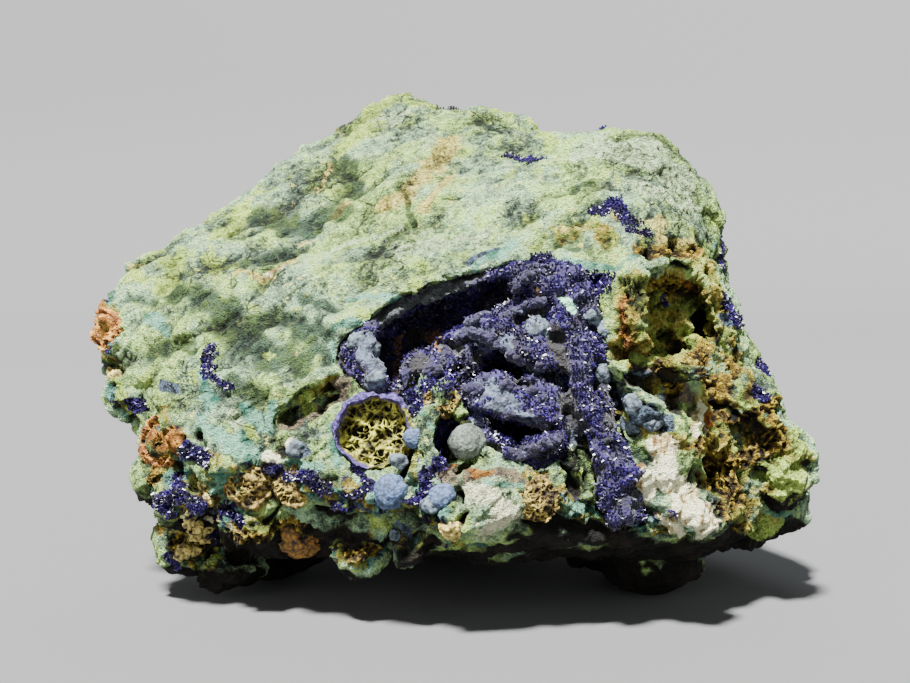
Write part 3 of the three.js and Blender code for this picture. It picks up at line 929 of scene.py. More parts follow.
HIDE_STROKES = {
    "vein_left": ([(573, 412), (581, 440), (593, 474), (600, 505)], 9),
    "vein_right": ([(604, 370), (610, 404), (630, 446), (642, 484), (648, 512)], 10),
    "vein_far": ([(642, 436), (662, 476), (670, 512)], 12),
    "vein_foot": ([(606, 536), (636, 532), (664, 528)], 10),
}
GLOOM_STROKES = {
    "left": ([(414, 334), (420, 356), (408, 388)], 9),
    "post_side": ([(385, 340), (387, 380)], 4),
    "post_gap": ([(338, 346), (341, 362)], 5),
    "under_rib": ([(478, 356), (506, 372), (530, 386)], 6),
    "vein_gap": ([(554, 334), (563, 372), (571, 404), (580, 444)], 9),
    "ball_nook": ([(518, 318), (540, 314), (548, 338)], 6),
    "under_mass": ([(476, 446), (500, 452), (520, 446)], 7),
}
LIP_STROKES = {
    "left": ([(340, 356), (342, 340), (354, 326), (378, 316), (412, 304), (440, 292), (462, 282)], 12),
    "right": ([(466, 280), (492, 268), (516, 256), (530, 252)], 11),
    "patch": ([(440, 346), (462, 352)], 6),
}
GREEN_STROKES = {
    "window": ([(464, 412), (470, 428), (476, 432)], 6),
    "ledge": ([(560, 300), (572, 312)], 4),
}
BROWN_STROKES = {
    "window": ([(399, 336), (398, 366), (397, 390)], 5),
    "patch": ([(432, 338), (440, 352)], 8),
    "speck": ([(536, 288), (540, 296)], 5),
    "under_blade": ([(446, 478), (470, 468)], 8),
}

CRUST_MARKS = {
    "dust": (DUST_STROKES, 8.1),
    "bare": (LIP_STROKES, 10.4),
    "brown": (BROWN_STROKES, 9.3),
    "gloom": (GLOOM_STROKES, 12.9),
    "green": (GREEN_STROKES, 14.2),
    "hidden": (HIDE_STROKES, 11.6),
}
print("strokes on the crust:", {name: len(strokes) for name, (strokes, _) in CRUST_MARKS.items()})

# %% [markdown]
# Swell, tufts and ropes are added up along the normals, as they were for the rock, and the marks for gloom and for
# hidden places sink the crust. Under the lip, where the crust is bare stone, it is also moved straight back, so that
# the lip hangs over a dark hollow.

# %% Weather the crust
crust = remeshed_copy("azurite_crust", "azurite_crust_skin", CRUST_VOXEL)
bm = bmesh.new()
bm.from_mesh(crust.data)
relax(bm, 2)
crust_tree = BVHTree.FromBMesh(bm)
bm.to_mesh(crust.data)
bm.free()
crust_points, crust_normals = points_and_normals(crust.data)
crust_relief = CRUST_SWELL + CRUST_WAVE_HEIGHT * waves(crust_points, CRUST_WAVE_MM, 2, 12.0)
for size, height in CRUST_TUFTS:
    tuft_near, _ = cells(crust_points, size, size)
    crust_relief += (0.5 - tuft_near) * 2 * height
crust_relief += ROPE_HEIGHT * billows(stretched(crust_points, ROPE_RUN, ROPE_STRETCH), ROPE_MM, 2, 18.0)
crust_wandered = wandering(crust_points)
marks = {
    name: grown(crust_points, crust_wandered, strokes, crust_tree, seed)
    for name, (strokes, seed) in CRUST_MARKS.items()
}
crust_relief -= HIDE_DEPTH * marks["hidden"] + GLOOM_DEPTH * marks["gloom"]
crust_moved = crust_points + crust_normals * crust_relief[:, None]
crust_moved[:, 1] += LIP_BACK * marks["bare"]
set_points(crust.data, crust_moved)
keep_field(crust.data, "relief", crust_relief)
for name in ("dust", "bare", "brown", "gloom", "green"):
    keep_field(crust.data, name, marks[name])
crust.data.shade_smooth()
print("crust:", len(crust_points), "vertices", triangle_count(crust), "triangles")

# %% [markdown]
# ## How open each place is
#
# Deep places are painted darker, as shade, because little light would reach them, while open ones keep their colour.
# A handful of lines is sent out from every vertex, and the share that meets nothing within a centimetre says how open
# it is. A random way out of a small ball gives a line in any direction. Moving the ball out along the normal, by a
# little more than its own radius, keeps every line off the surface that it starts from.

# %% Openness
OPEN_LINES = 7
OPEN_REACH = 11.0
OPEN_START = 0.35
OPEN_LEAN = 1.02


def openness(points, normals, trees, seed):
    """From 0 in a deep crack to 1 on an open face, for each point."""
    rng = np.random.default_rng(seed)
    ways = rng.normal(size=(OPEN_LINES, len(points), 3))
    ways /= np.linalg.norm(ways, axis=2)[:, :, None]
    ways += normals * OPEN_LEAN
    free = np.zeros(len(points))
    starts = [Vector(p) for p in ((points + normals * OPEN_START) * MM).tolist()]
    for line in ways:
        for index, way in enumerate(line.tolist()):
            direction = Vector(way)
            free[index] += all(tree.ray_cast(starts[index], direction, OPEN_REACH * MM)[0] is None for tree in trees)
    return free / OPEN_LINES


trees = [BVHTree.FromObject(piece, bpy.context.evaluated_depsgraph_get()) for piece in (rock, crust)]
for piece in (rock, *zone_skins, crust):
    keep_field(piece.data, "open", openness(*points_and_normals(piece.data), trees, 5))
zone_trees = [BVHTree.FromObject(piece, bpy.context.evaluated_depsgraph_get()) for piece in zone_skins]
print("openness stored")

# %% [markdown]
# ## Crystals
#
# Loose crystals stand out of the crust and of the azurite patches. Each is a four-sided prism with a smaller end,
# only twelve triangles, because there are thousands. They are grown where a line straight out of the surface meets
# nothing, so none is wasted in the gap behind the crust. Small batches are joined at the end, because an operator
# takes longer the more a mesh already holds.

# %% Grow the crystals
CRYSTAL_SIDES = 4
CRYSTAL_WIDTH = (0.13, 0.32)
CRYSTAL_LENGTH = (0.4, 0.8)
CRYSTAL_TIP = 0.55
CRYSTAL_LEAN = 0.85
LEAN_SHARE = 0.6
CRYSTAL_OUT = 0.25
CRYSTAL_BATCH = 150
CLEAR_MM = 1.6
CRUST_CRYSTALS = 15000
PATCH_CRYSTALS = 2500
CRUST_FACING = 0.45
PATCH_LEAST = 0.15
BALD_MM = 5.0


def crystal_spots(mesh, share, count, seed, other_tree=None):
    """Random places on a mesh, more where the share is high, with the way out of the surface there."""
    rng = np.random.default_rng(seed)
    points, normals = points_and_normals(mesh)
    most = min(count * 3, np.count_nonzero(share))
    chosen = rng.choice(len(points), size=most, replace=False, p=share / share.sum())
    spots = []
    for index in chosen:
        at = Vector(points[index] * MM)
        out = Vector(normals[index])
        if other_tree is not None and other_tree.ray_cast(at, out, CLEAR_MM * MM)[0] is not None:
            continue
        spots.append((at, out))
        if len(spots) == count:
            break
    return spots


def crystals(name, spots, seed):
    """One mesh of many small prisms, a prism for each spot."""
    draw = random.Random(seed)
    whole = bmesh.new()
    for start in range(0, len(spots), CRYSTAL_BATCH):
        batch = bmesh.new()
        for at, out in spots[start : start + CRYSTAL_BATCH]:
            lean = Vector([draw.gauss(0, CRYSTAL_LEAN) for _ in range(3)])
            way = (out + lean * LEAN_SHARE).normalized()
            width = draw.uniform(*CRYSTAL_WIDTH) * MM
            length = draw.uniform(*CRYSTAL_LENGTH) * MM
            turn = way.to_track_quat("Z", "Y").to_matrix().to_4x4()
            bmesh.ops.create_cone(
                batch,
                cap_ends=True,
                segments=CRYSTAL_SIDES,
                radius1=width,
                radius2=width * CRYSTAL_TIP,
                depth=length,
                matrix=Matrix.Translation(at + way * length * CRYSTAL_OUT) @ turn,
            )
        small = bpy.data.meshes.new("batch")
        batch.to_mesh(small)
        batch.free()
        whole.from_mesh(small)
        bpy.data.meshes.remove(small)
    return new_piece(name, whole)


crust_share = np.where(crust_normals[:, 1] < CRUST_FACING, 1.0, 0.0)
crust_share *= (1 - marks["dust"]) ** 3 * (1 - marks["brown"]) * (1 - marks["bare"]) ** 3
crust_share *= (1 - marks["gloom"]) ** 2 * (1 - marks["green"]) ** 3
crust_share *= 1 - smooth_step(0.4, 0.8, marks["hidden"])
crust_share *= smooth_step(-0.9, 0.1, waves(crust_points, BALD_MM, 2, 77.0))
crust_spots = crystal_spots(crust.data, crust_share, CRUST_CRYSTALS, 1, trees[0])
crust_crystals = crystals("crust_crystals", crust_spots, 11)
patch_spots = []
for number, (piece, found) in enumerate(zip((rock, *zone_skins), (rock_minerals, *zone_minerals))):
    share = np.where(found["azurite"] > PATCH_LEAST, found["azurite"] ** 3, 0.0)
    points, _ = points_and_normals(piece.data)
    if piece is rock:
        share *= 1 - np.maximum.reduce([within(points, zone) for zone in ZONES.values()])
    else:
        share *= within(points, ZONES[piece.name])
    patch_spots += crystal_spots(piece.data, share, PATCH_CRYSTALS, 2 + number)
patch_crystals = crystals("patch_crystals", patch_spots, 12)
for piece in (crust_crystals, patch_crystals):
    print(piece.name, triangle_count(piece), "triangles")

# %% [markdown]
# ## Honeycomb nodules
#
# The nodules are made from spheres of triangles, fine enough for walls a third of a millimetre thick. A cup is
# pressed into the front of each, and the walls stand up from its floor. The largest is hollow: it is an empty cup,
# whose floor is full of cells and whose rim is azurite. The cells are read flat along the front, so that the walls
# between them stand straight out.

# %% Nodules
NODULE_LOOKS = {
    "cupped": dict(levels=7, cell=2.3, depth=1.9, facing=CUP_FACING, cup=1.0, lumpy=0.14),
    "twin_left": dict(levels=6, cell=1.7, depth=1.3, facing=(-0.1, -1.0, 0.1), cup=0.35, lumpy=0.22),
    "twin_right": dict(levels=6, cell=1.5, depth=1.1, facing=(0.1, -1.0, 0.1), cup=0.3, lumpy=0.22),
    "shoulder_rust": dict(levels=6, cell=1.6, depth=1.4, facing=(-0.3, -1.0, 0.2), cup=0.5, lumpy=0.35),
    "small": dict(levels=6, cell=1.3, depth=1.0, facing=(0.0, -1.0, 0.3), cup=0.4, lumpy=0.25),
    "brown": dict(levels=6, cell=1.4, depth=1.1, facing=(0.1, -1.0, 0.0), cup=0.15, lumpy=0.25),
    "left_end": dict(levels=6, cell=1.6, depth=1.1, facing=(-0.8, -1.0, 0.1), cup=0.25, lumpy=0.35),
}
CUP_EDGE = (0.57, 0.66)
RIM_SIDE = Vector((-0.75, -0.25, 0.6)).normalized()
DEEP_CUP = 0.6
FLOOR_LEVEL = 0.28
RAGGED = 0.09
WALL_STRETCH = 0.85
FINER_CELLS = 0.6
RIM_WIDTH = 0.35
RIM_RAISE = 0.35
CRUMB_RAISE = 0.45


def nodule(name, at, radius, levels, cell, depth, facing, cup, lumpy):
    """A rough sphere with a cup pressed into its front, full of upright walls between scattered cells."""
    bm = bmesh.new()
    bmesh.ops.create_icosphere(bm, subdivisions=levels, radius=1.0)
    mesh = bpy.data.meshes.new(name)
    bm.to_mesh(mesh)
    bm.free()
    ways, _ = points_and_normals(mesh)
    ways *= MM
    front = np.array(Vector(facing).normalized())
    points = ways * radius + np.array(at)
    ragged = ways @ front + RAGGED * waves(points, 3.0, 2, radius)
    in_cup = smooth_step(*CUP_EDGE, ragged)
    points += ways * (lumpy * radius * waves(points, radius * 1.1, 3, 2.0))[:, None]
    flat = points - np.outer((points @ front) * WALL_STRETCH, front)
    walls = np.maximum(comb(flat, cell, radius), 0.8 * comb(flat, cell * FINER_CELLS, radius + 5))
    walls = np.clip(walls * (0.8 + 0.6 * waves(points, 2.6, 2, 14.0)), 0, 1.2)
    edge = smooth_step(CUP_EDGE[0] - RIM_WIDTH, CUP_EDGE[0], ragged) * (1 - in_cup)
    hollow_front = cup > DEEP_CUP
    sticks_out = (points - np.array(at)) @ front - FLOOR_LEVEL * radius
    combed = np.maximum(in_cup, smooth_step(-0.2, 0.4, ragged) * (0.0 if hollow_front else 0.8))
    floor_at = cup * in_cup * sticks_out + combed * (1 - walls) * depth * (0.8 + 0.7 * waves(points, 3.0, 1, 6.0))
    points -= np.outer(floor_at, front)
    crumbs = CRUMB_RAISE * waves(points, 1.3, 3, 8.0)
    points += ways * (RIM_RAISE * edge + crumbs)[:, None]
    set_points(mesh, points)
    rim = smooth_step(-0.5, 0.0, ways @ np.array(RIM_SIDE) + 0.35 * waves(points, 3.0, 2))
    keep_field(mesh, "ridge", walls * combed + (1 - combed) * 0.6)
    keep_field(mesh, "rim", (1 - in_cup) * rim if hollow_front else np.zeros(len(points)))
    mesh.shade_smooth()
    return mesh


nodule_meshes = {name: nodule(name, *NODULES[name], **looks) for name, looks in NODULE_LOOKS.items()}


def joined(name, parts):
    """One piece of several nodules."""
    bm = bmesh.new()
    for part in parts:
        bm.from_mesh(nodule_meshes[part])
    return new_piece(name, bm)


cupped_nodule = joined("cupped_nodule", ("cupped",))
yellow_nodules = joined("honeycomb_nodules", ("twin_left", "twin_right", "small", "brown"))
rust_nodules = joined("rust_nodules", ("shoulder_rust", "left_end"))
for piece in (cupped_nodule, yellow_nodules, rust_nodules):
    print(piece.name, triangle_count(piece), "triangles")

# %% [markdown]
# ## Balls and knobs
#
# Small balls of radiating crystals sit in the belt below the hollow, and strings of blue-grey knobs hang beside the
# vein and along the ribs. Thin ropes of azurite cross the hollow, and heaps of golden crumbs lie on the lumps at the
# lower left. The balls have places already. The rest is laid along strokes, like the minerals, but here the number
# with a path is the radius of its spheres in millimetres.

# %% Strokes of knobs, ropes and crumbs
KNOB_STROKES = {
    "vein_high": ([(592, 322), (601, 332), (598, 347)], 1.8),
    "vein_upper": ([(597, 371), (606, 374)], 2.2),
    "vein_middle": ([(612, 403), (634, 402)], 2.2),
    "vein_low": ([(617, 422), (630, 425)], 2.1),
    "vein_right": ([(648, 412), (655, 424)], 1.9),
    "shelf": ([(657, 395), (658, 396)], 1.2),
    "hollow_ball": ([(532, 332), (533, 333)], 2.6),
    "post": ([(354, 338), (366, 350), (380, 352)], 2.2),
    "post_low": ([(378, 366), (374, 386)], 1.4),
    "tuft": ([(400, 532), (408, 548)], 1.8),
    "ball_twin": ([(431, 505), (432, 506)], 1.8),
    "cup_side": ([(404, 455), (405, 456)], 1.5),
    "fold": ([(294, 448), (302, 452)], 1.5),
}
ROPE_STROKES = {
    "diagonal": ([(404, 400), (430, 378), (450, 350), (474, 320), (508, 294), (536, 270)], 1.0),
    "rib": ([(446, 344), (470, 332), (500, 346), (530, 364), (556, 378)], 1.2),
    "mass_high": ([(462, 392), (490, 382), (520, 388), (548, 400)], 1.0),
    "mass_low": ([(480, 424), (510, 416), (548, 426)], 0.9),
    "blade": ([(462, 482), (500, 466), (536, 450), (562, 436)], 1.0),
    "strand": ([(424, 372), (440, 384), (436, 404)], 1.0),
    "strand_high": ([(500, 318), (524, 308), (548, 296)], 1.0),
}
CRUMB_STROKES = {
    "foot": ([(174, 518), (196, 524), (216, 528)], 1.7),
    "foot_middle": ([(186, 536), (206, 540)], 1.7),
    "foot_low": ([(180, 546), (198, 552)], 1.7),
    "shoulder": ([(200, 486), (214, 500)], 1.5),
    "ledge_left": ([(442, 522), (462, 536)], 1.8),
    "left_edge": ([(106, 352), (118, 384)], 1.6),
}
print("knob, rope and crumb strokes:", len(KNOB_STROKES), len(ROPE_STROKES), len(CRUMB_STROKES))

# %% [markdown]
# All of them start as spheres of triangles, which noise makes lumpy and grainy. A sphere goes to whichever surface
# its line of sight meets first, and is half sunk into it. Spheres that are set close enough to overlap read as a
# rope.

# %% Balls, knobs, ropes and crumbs
BELT_DISTANCE = 230
KNOB_SPACING = 1.25
KNOB_SPREAD = 0.3
ROPE_SPACING = 0.75
ROPE_SPREAD = 0.25
KNOB_SINK = 0.45


def knob_places(strokes, trees, seed, spacing=KNOB_SPACING, spread=KNOB_SPREAD):
    """Centres and radii in millimetres of spheres strung along strokes."""
    draw = random.Random(seed)
    places = []
    for path, size in strokes.values():
        for (x0, y0), (x1, y1) in zip(path, path[1:]):
            pixels = size * FOCAL_PIXELS / BELT_DISTANCE
            steps = max(1, round(math.hypot(x1 - x0, y1 - y0) / (pixels * spacing)))
            for step in range(steps):
                share = (step + draw.random()) / steps
                across = [draw.gauss(0, spread * pixels) for _ in range(2)]
                ray = sight_line(x0 + (x1 - x0) * share + across[0], y0 + (y1 - y0) * share + across[1])
                radius = size * draw.uniform(0.7, 1.2)
                hits = [hit for hit in (tree.ray_cast(CAMERA_PLACE, ray) for tree in trees) if hit[0] is not None]
                if hits:
                    at, out, _, _ = min(hits, key=lambda hit: hit[3])
                    places.append((tuple((at - out * radius * KNOB_SINK * MM) / MM), radius))
    return places


def lumps(name, places, levels, swell_height, swell_mm, grain_mm, grain_height):
    """One mesh of rough spheres, at centres and with radii in millimetres."""
    bm = bmesh.new()
    for at, radius in places:
        matrix = Matrix.Translation(Vector(at) * MM)
        bmesh.ops.create_icosphere(bm, subdivisions=levels, radius=radius * MM, matrix=matrix)
    piece = new_piece(name, bm)
    points, normals = points_and_normals(piece.data)
    near, _ = cells(points, grain_mm, 5.0)
    out = swell_height * waves(points, swell_mm, 3, 2.0) + (0.5 - near) * grain_height
    set_points(piece.data, points + normals * out[:, None])
    keep_field(piece.data, "grain", near)
    keep_field(piece.data, "open", openness(*points_and_normals(piece.data), all_trees, 6))
    piece.data.shade_smooth()
    return piece


all_trees = [*trees, *zone_trees]
blue_places = [BALLS[name] for name in ("blue_large", "blue_small", "blue_high")]
knob_spots = knob_places(KNOB_STROKES, all_trees, 21)
rope_spots = knob_places(ROPE_STROKES, [trees[1]], 22, ROPE_SPACING, ROPE_SPREAD)
crumb_spots = knob_places(CRUMB_STROKES, all_trees, 23)
blue_balls = lumps("blue_balls", blue_places, 6, 0.32, 2.6, 0.6, 0.16)
grey_ball = lumps("grey_ball", [BALLS["grey_large"]], 6, 0.3, 3.0, 0.55, 0.16)
amber_ball = lumps("amber_ball", [BALLS["amber"]], 6, 0.9, 4.0, 0.8, 0.3)
knobs = lumps("blue_grey_knobs", knob_spots, 5, 0.8, 2.8, 0.8, 0.3)
ropes = lumps("azurite_ropes", rope_spots, 4, 0.7, 2.2, 0.7, 0.3)
crumb_nodules = lumps("crumb_nodules", crumb_spots, 5, 1.0, 2.4, 0.7, 0.35)
for piece in (blue_balls, grey_ball, amber_ball, knobs, ropes, crumb_nodules):
    print(piece.name, triangle_count(piece), "triangles")

# %% [markdown]
# ## Writing materials as sums
#
# A material is a net of nodes. To keep the nets readable, a small class wraps a node's output: a sum or product of
# such outputs adds the Math nodes by itself, and any other node comes from its method `make`, which sets the node's
# settings before it fills its sockets. An output is picked by its place in the node's row of outputs, and so are the
# inputs of a Mix node, where several share one name. Those places get names here. Noise, ramps and mixes get
# helpers of their own.

# %% A class for node outputs
MIX_UNDER = 6
MIX_OVER = 7
MIX_COLOUR = 2
OBJECT_PLACE = 3
FIELD_VALUE = 2
NOISE_COLOUR = 1
SWIRL_SHARE = 0.6


class Wire:
    """One output of a node in a material. Arithmetic on it adds Math nodes."""

    def __init__(self, tree, socket=None):
        self.tree = tree
        self.socket = socket

    def make(self, kind, settings=None, inputs=None, output=0):
        """Adds a node, sets its settings and then fills its sockets with values or with other outputs."""
        node = self.tree.nodes.new(kind)
        for name, value in (settings or {}).items():
            if name == "stops":
                stops = node.color_ramp.elements
                while len(stops) < len(value):
                    stops.new(0.5)
                for stop, (position, colour) in zip(stops, value):
                    stop.position = position
                    stop.color = (*colour, 1)
            else:
                setattr(node, name, value)
        for name, value in (inputs or {}).items():
            if isinstance(value, Wire):
                self.tree.links.new(value.socket, node.inputs[name])
            else:
                node.inputs[name].default_value = value
        return Wire(self.tree, node.outputs[output])

    def maths(self, operation, first, second):
        """A Math node between two outputs or values."""
        return self.make("ShaderNodeMath", {"operation": operation}, {0: first, 1: second})

    def __add__(self, other):
        return self.maths("ADD", self, other)

    __radd__ = __add__

    def __sub__(self, other):
        return self.maths("SUBTRACT", self, other)

    def __rsub__(self, other):
        return self.maths("SUBTRACT", other, self)

    def __mul__(self, other):
        return self.maths("MULTIPLY", self, other)

    __rmul__ = __mul__

    def between(self, low, high):
        """0 below low, 1 above high and a soft step between them."""
        ends = {"Value": self, "From Min": low, "From Max": high}
        return self.make("ShaderNodeMapRange", {"interpolation_type": "SMOOTHSTEP"}, ends)

    def blend(self, under, over):
        """The colour under where this mask is 0, and the colour over where it is 1."""
        ends = {MIX_UNDER: under, MIX_OVER: over}
        ends = {slot: c if isinstance(c, Wire) else (*c, 1) for slot, c in ends.items()}
        return self.make("ShaderNodeMix", {"data_type": "RGBA"}, {0: self, **ends}, MIX_COLOUR)

    def dim(self, colour, tint):
        """The colour times the tint where this mask is 0, and the colour alone where it is 1."""
        mixing = {"data_type": "RGBA", "blend_type": "MULTIPLY"}
        ends = {MIX_UNDER: colour, MIX_OVER: (*tint, 1)}
        return self.make("ShaderNodeMix", mixing, {0: 1 - self, **ends}, MIX_COLOUR)


class Finish(Wire):
    """A material, with the noises that finishes of stone are made of."""

    def __init__(self, name):
        self.material = bpy.data.materials.new(name)
        self.material.use_nodes = True
        super().__init__(self.material.node_tree)
        self.shader = self.tree.nodes["Principled BSDF"]
        self.place = self.make("ShaderNodeTexCoord", output=OBJECT_PLACE)

    def field(self, name):
        """A number stored on the vertices under a name."""
        return self.make("ShaderNodeAttribute", {"attribute_name": name}, output=FIELD_VALUE)

    def noise(self, width_mm, detail=3.0, roughness=0.6, warp=0.0, run=None):
        """Cloudy noise, drawn out along a line if run gives a turn and a scale."""
        at = self.place
        if run is not None:
            at = self.make("ShaderNodeMapping", None, {"Vector": at, "Rotation": run[0], "Scale": run[1]})
        sizes = {
            "Vector": at,
            "Scale": 1 / (width_mm * MM),
            "Detail": detail,
            "Roughness": roughness,
            "Distortion": warp,
        }
        return self.make("ShaderNodeTexNoise", {}, sizes)

    def grains(self, width_mm, feature="F1", crooked_mm=0.0):
        """Scattered cells, whose straight walls bend if crooked_mm is given."""
        at = self.place
        if crooked_mm:
            scale = SWIRL_SHARE / (width_mm * MM)
            swirl = self.make("ShaderNodeTexNoise", {}, {"Vector": at, "Scale": scale}, NOISE_COLOUR)
            shift = self.make("ShaderNodeVectorMath", {"operation": "SCALE"}, {0: swirl, "Scale": crooked_mm * MM})
            at = self.make("ShaderNodeVectorMath", {"operation": "ADD"}, {0: at, 1: shift})
        return self.make("ShaderNodeTexVoronoi", {"feature": feature}, {"Vector": at, "Scale": 1 / (width_mm * MM)})

    def ramp(self, value, stops):
        """A colour for each value, between stops that hold a position and a colour."""
        return self.make("ShaderNodeValToRGB", {"stops": stops}, {"Fac": value})

    def finish(self, colour, roughness, height, height_mm, strength, **settings):
        """Joins a colour, a roughness and a height to the shader, and sets its other sockets."""
        bump = self.make(
            "ShaderNodeBump", None, {"Height": height, "Distance": height_mm * MM, "Strength": strength}
        )
        for name, value in {"Base Color": colour, "Roughness": roughness, "Normal": bump}.items():
            if isinstance(value, Wire):
                self.tree.links.new(value.socket, self.shader.inputs[name])
            else:
                self.shader.inputs[name].default_value = value
        for name, value in settings.items():
            self.shader.inputs[name.replace("_", " ")].default_value = value
        return self.material


print("node class ready")

# %% [markdown]
# ## The rock's finish
#
# The fields stored on the vertices say where each mineral is, and fine noise breaks up their edges. Under them the
# stone is grey-green, with darker and paler speckles. Each colour is a ramp from its shade to its dust: low places
# are darker and browner, as painted shade and as dirt and iron, and crests are paler, as a painted highlight and as
# wear. The palette is darker and stronger than the photograph looks, because the view transform makes bright colours
# paler.

# %% Rock colours
COOL_STOPS = [
    (0.0, (0.018, 0.026, 0.021)),
    (0.35, (0.102, 0.155, 0.105)),
    (0.7, (0.30, 0.46, 0.275)),
    (1.0, (0.51, 0.80, 0.45)),
]
WARM_STOPS = [
    (0.0, (0.025, 0.034, 0.012)),
    (0.35, (0.15, 0.23, 0.068)),
    (0.7, (0.38, 0.57, 0.165)),
    (1.0, (0.64, 0.94, 0.29)),
]
GOLD_STOPS = [
    (0.0, (0.012, 0.008, 0.003)),
    (0.35, (0.11, 0.076, 0.012)),
    (0.65, (0.40, 0.31, 0.040)),
    (1.0, (0.86, 0.78, 0.22)),
]
MOSS_STOPS = [
    (0.0, (0.010, 0.013, 0.005)),
    (0.35, (0.08, 0.10, 0.018)),
    (0.65, (0.29, 0.36, 0.06)),
    (1.0, (0.66, 0.80, 0.20)),
]
TEAL_STOPS = [
    (0.0, (0.006, 0.012, 0.012)),
    (0.4, (0.03, 0.11, 0.085)),
    (0.7, (0.12, 0.32, 0.24)),
    (1.0, (0.40, 0.68, 0.52)),
]
LIME = (0.15, 0.22, 0.030)
LIME_PALE = (0.60, 0.82, 0.17)
MALACHITE = (0.03, 0.16, 0.11)
MALACHITE_PALE = (0.27, 0.58, 0.40)
AZURITE_DARK = (0.002, 0.001, 0.008)
AZURITE = (0.015, 0.006, 0.070)
AZURITE_BRIGHT = (0.060, 0.030, 0.23)
OCHRE = (0.28, 0.175, 0.020)
OCHRE_PALE = (0.76, 0.60, 0.08)
UMBER = (0.018, 0.010, 0.004)
RUST = (0.18, 0.052, 0.010)
RUST_PALE = (0.64, 0.30, 0.050)
CREAM = (0.99, 0.97, 0.64)
CREAM_TAN = (0.60, 0.46, 0.21)
CREAM_SHADE = (0.26, 0.15, 0.06)
CHALK = (0.92, 0.92, 0.62)
CHALK_SHADE = (0.26, 0.26, 0.14)
PEACH = (0.80, 0.72, 0.20)
PEACH_SHADE = (0.17, 0.12, 0.025)
POWDER_BLUE = (0.14, 0.20, 0.28)
SLATE = (0.018, 0.024, 0.034)
BARE_STONE = (0.30, 0.24, 0.14)
BARE_SHADE = (0.10, 0.08, 0.06)
PALE_STONE = (0.68, 0.88, 0.50)
PALE_SHADE = (0.14, 0.19, 0.10)
UNDERSIDE_SHADE = (0.022, 0.016, 0.009)
UNDERSIDE_DEEP_SHADE = (0.004, 0.003, 0.002)
GAP_SHADE = (0.008, 0.006, 0.004)
azurite_stops = [(0.3, AZURITE_DARK), (0.55, AZURITE), (0.78, AZURITE_BRIGHT)]
ochre_stops = [(0.0, UMBER), (0.5, OCHRE), (1.0, OCHRE_PALE)]
cream_stops = [(0.0, CREAM_SHADE), (0.4, CREAM_TAN), (0.7, CREAM)]
print("stops in the ramps of the stone:", len(COOL_STOPS), "and of the cream:", len(cream_stops))

# %% [markdown]
# Five noises from broad to dusty serve all that follows. The cracks are the borders between large bent cells, and
# the broad noise hides some of them. A mineral's patch is its stored field with these noises added before a step,
# so that its edge breaks up into islands and grains.

# %% Noises and patches of the rock
stone = Finish("altered_rock_finish")
broad = stone.noise(16.0, 4.0)
middle = stone.noise(4.5, 4.0)
fine = stone.noise(1.3, 3.0, 0.7)
speck = stone.noise(0.45, 2.0, 0.8)
dust = stone.noise(0.28, 2.0, 0.9)
low = stone.field("relief")
cracks = stone.grains(5.5, "DISTANCE_TO_EDGE", 6.0) + (fine - 0.5) * 0.10 + broad.between(0.42, 0.6) * 0.25
cracked = cracks.between(0.0, 0.045)


def patch(name, least=0.42, most=0.72, fray=1.0):
    """A mineral's field with its edge and its middle broken up by the three finer noises."""
    frayed = stone.field(name) + (middle - 0.5) * (0.8 * fray) + (fine - 0.5) * fray + (speck - 0.5) * (0.7 * fray)
    return frayed.between(least, most)


print("nodes for noises and cracks:", len(stone.tree.nodes))

# %% [markdown]
# The plain stone comes first: cool and warm green in broad drifts, with dust of lime and flecks of peach. Where the
# strokes say earthy it is moss and gold, and the mixed ground mingles that with teal and azurite.

# %% Plain stone and mixed ground
tone = (broad * 0.7 + middle * 0.5 + fine * 0.7 + speck * 0.35 + low * 0.20).between(0.76, 1.37)
warmth = (stone.noise(13.0, 4.0, 0.6, 0.5) + (fine - 0.5) * 0.3).between(0.42, 0.58)
colour = warmth.blend(stone.ramp(tone, COOL_STOPS), stone.ramp(tone, WARM_STOPS))
mossy = (middle * 0.8 + stone.noise(9.0, 3.0) * 0.8 + speck * 0.4).between(1.08, 1.28)
colour = mossy.blend(colour, tone.blend(LIME, LIME_PALE))
flecks = (stone.noise(2.6, 2.0) + (speck - 0.5) * 0.5).between(0.67, 0.74)
colour = flecks.blend(colour, PEACH)

hump = (low * 0.35 + (fine - 0.5) * 1.8 + (middle - 0.5) * 0.9).between(-1.2, 0.85)
golden = (stone.noise(5.0, 3.0, 0.6, 0.4) + (speck - 0.5) * 0.3).between(0.43, 0.55)
earth = golden.blend(stone.ramp(hump, MOSS_STOPS), stone.ramp(hump, GOLD_STOPS))
colour = patch("earthy", 0.3, 0.55).blend(colour, earth)
azure = stone.ramp(fine + (speck - 0.5) * 0.8, azurite_stops)
tealish = (stone.noise(6.0, 3.0, 0.6, 0.5) + (speck - 0.5) * 0.3).between(0.48, 0.56)
bluish = (stone.noise(3.4, 3.0, 0.65, 0.6) + (speck - 0.5) * 0.3).between(0.56, 0.61)
mingled = bluish.blend(tealish.blend(earth, stone.ramp(hump, TEAL_STOPS)), azure)
colour = patch("mixed", 0.3, 0.55).blend(colour, mingled)
print("nodes with the plain stone:", len(stone.tree.nodes))

# %% [markdown]
# The minerals go over the stone one by one, each where its strokes lie, and each in a tone that a noise drives. The
# later ones cover the earlier ones. Dark strokes tint what lies under them by multiplying it, partly as painted shade
# and partly as darker stone.

# %% Minerals over the stone
SHADE_TINT = (0.17, 0.20, 0.20)

colour = patch("stone").blend(colour, fine.between(0.4, 0.6).blend(BARE_SHADE, BARE_STONE))
colour = patch("peach", 0.35, 0.9).blend(colour, (fine + middle * 0.6).between(0.55, 0.95).blend(PEACH_SHADE, PEACH))
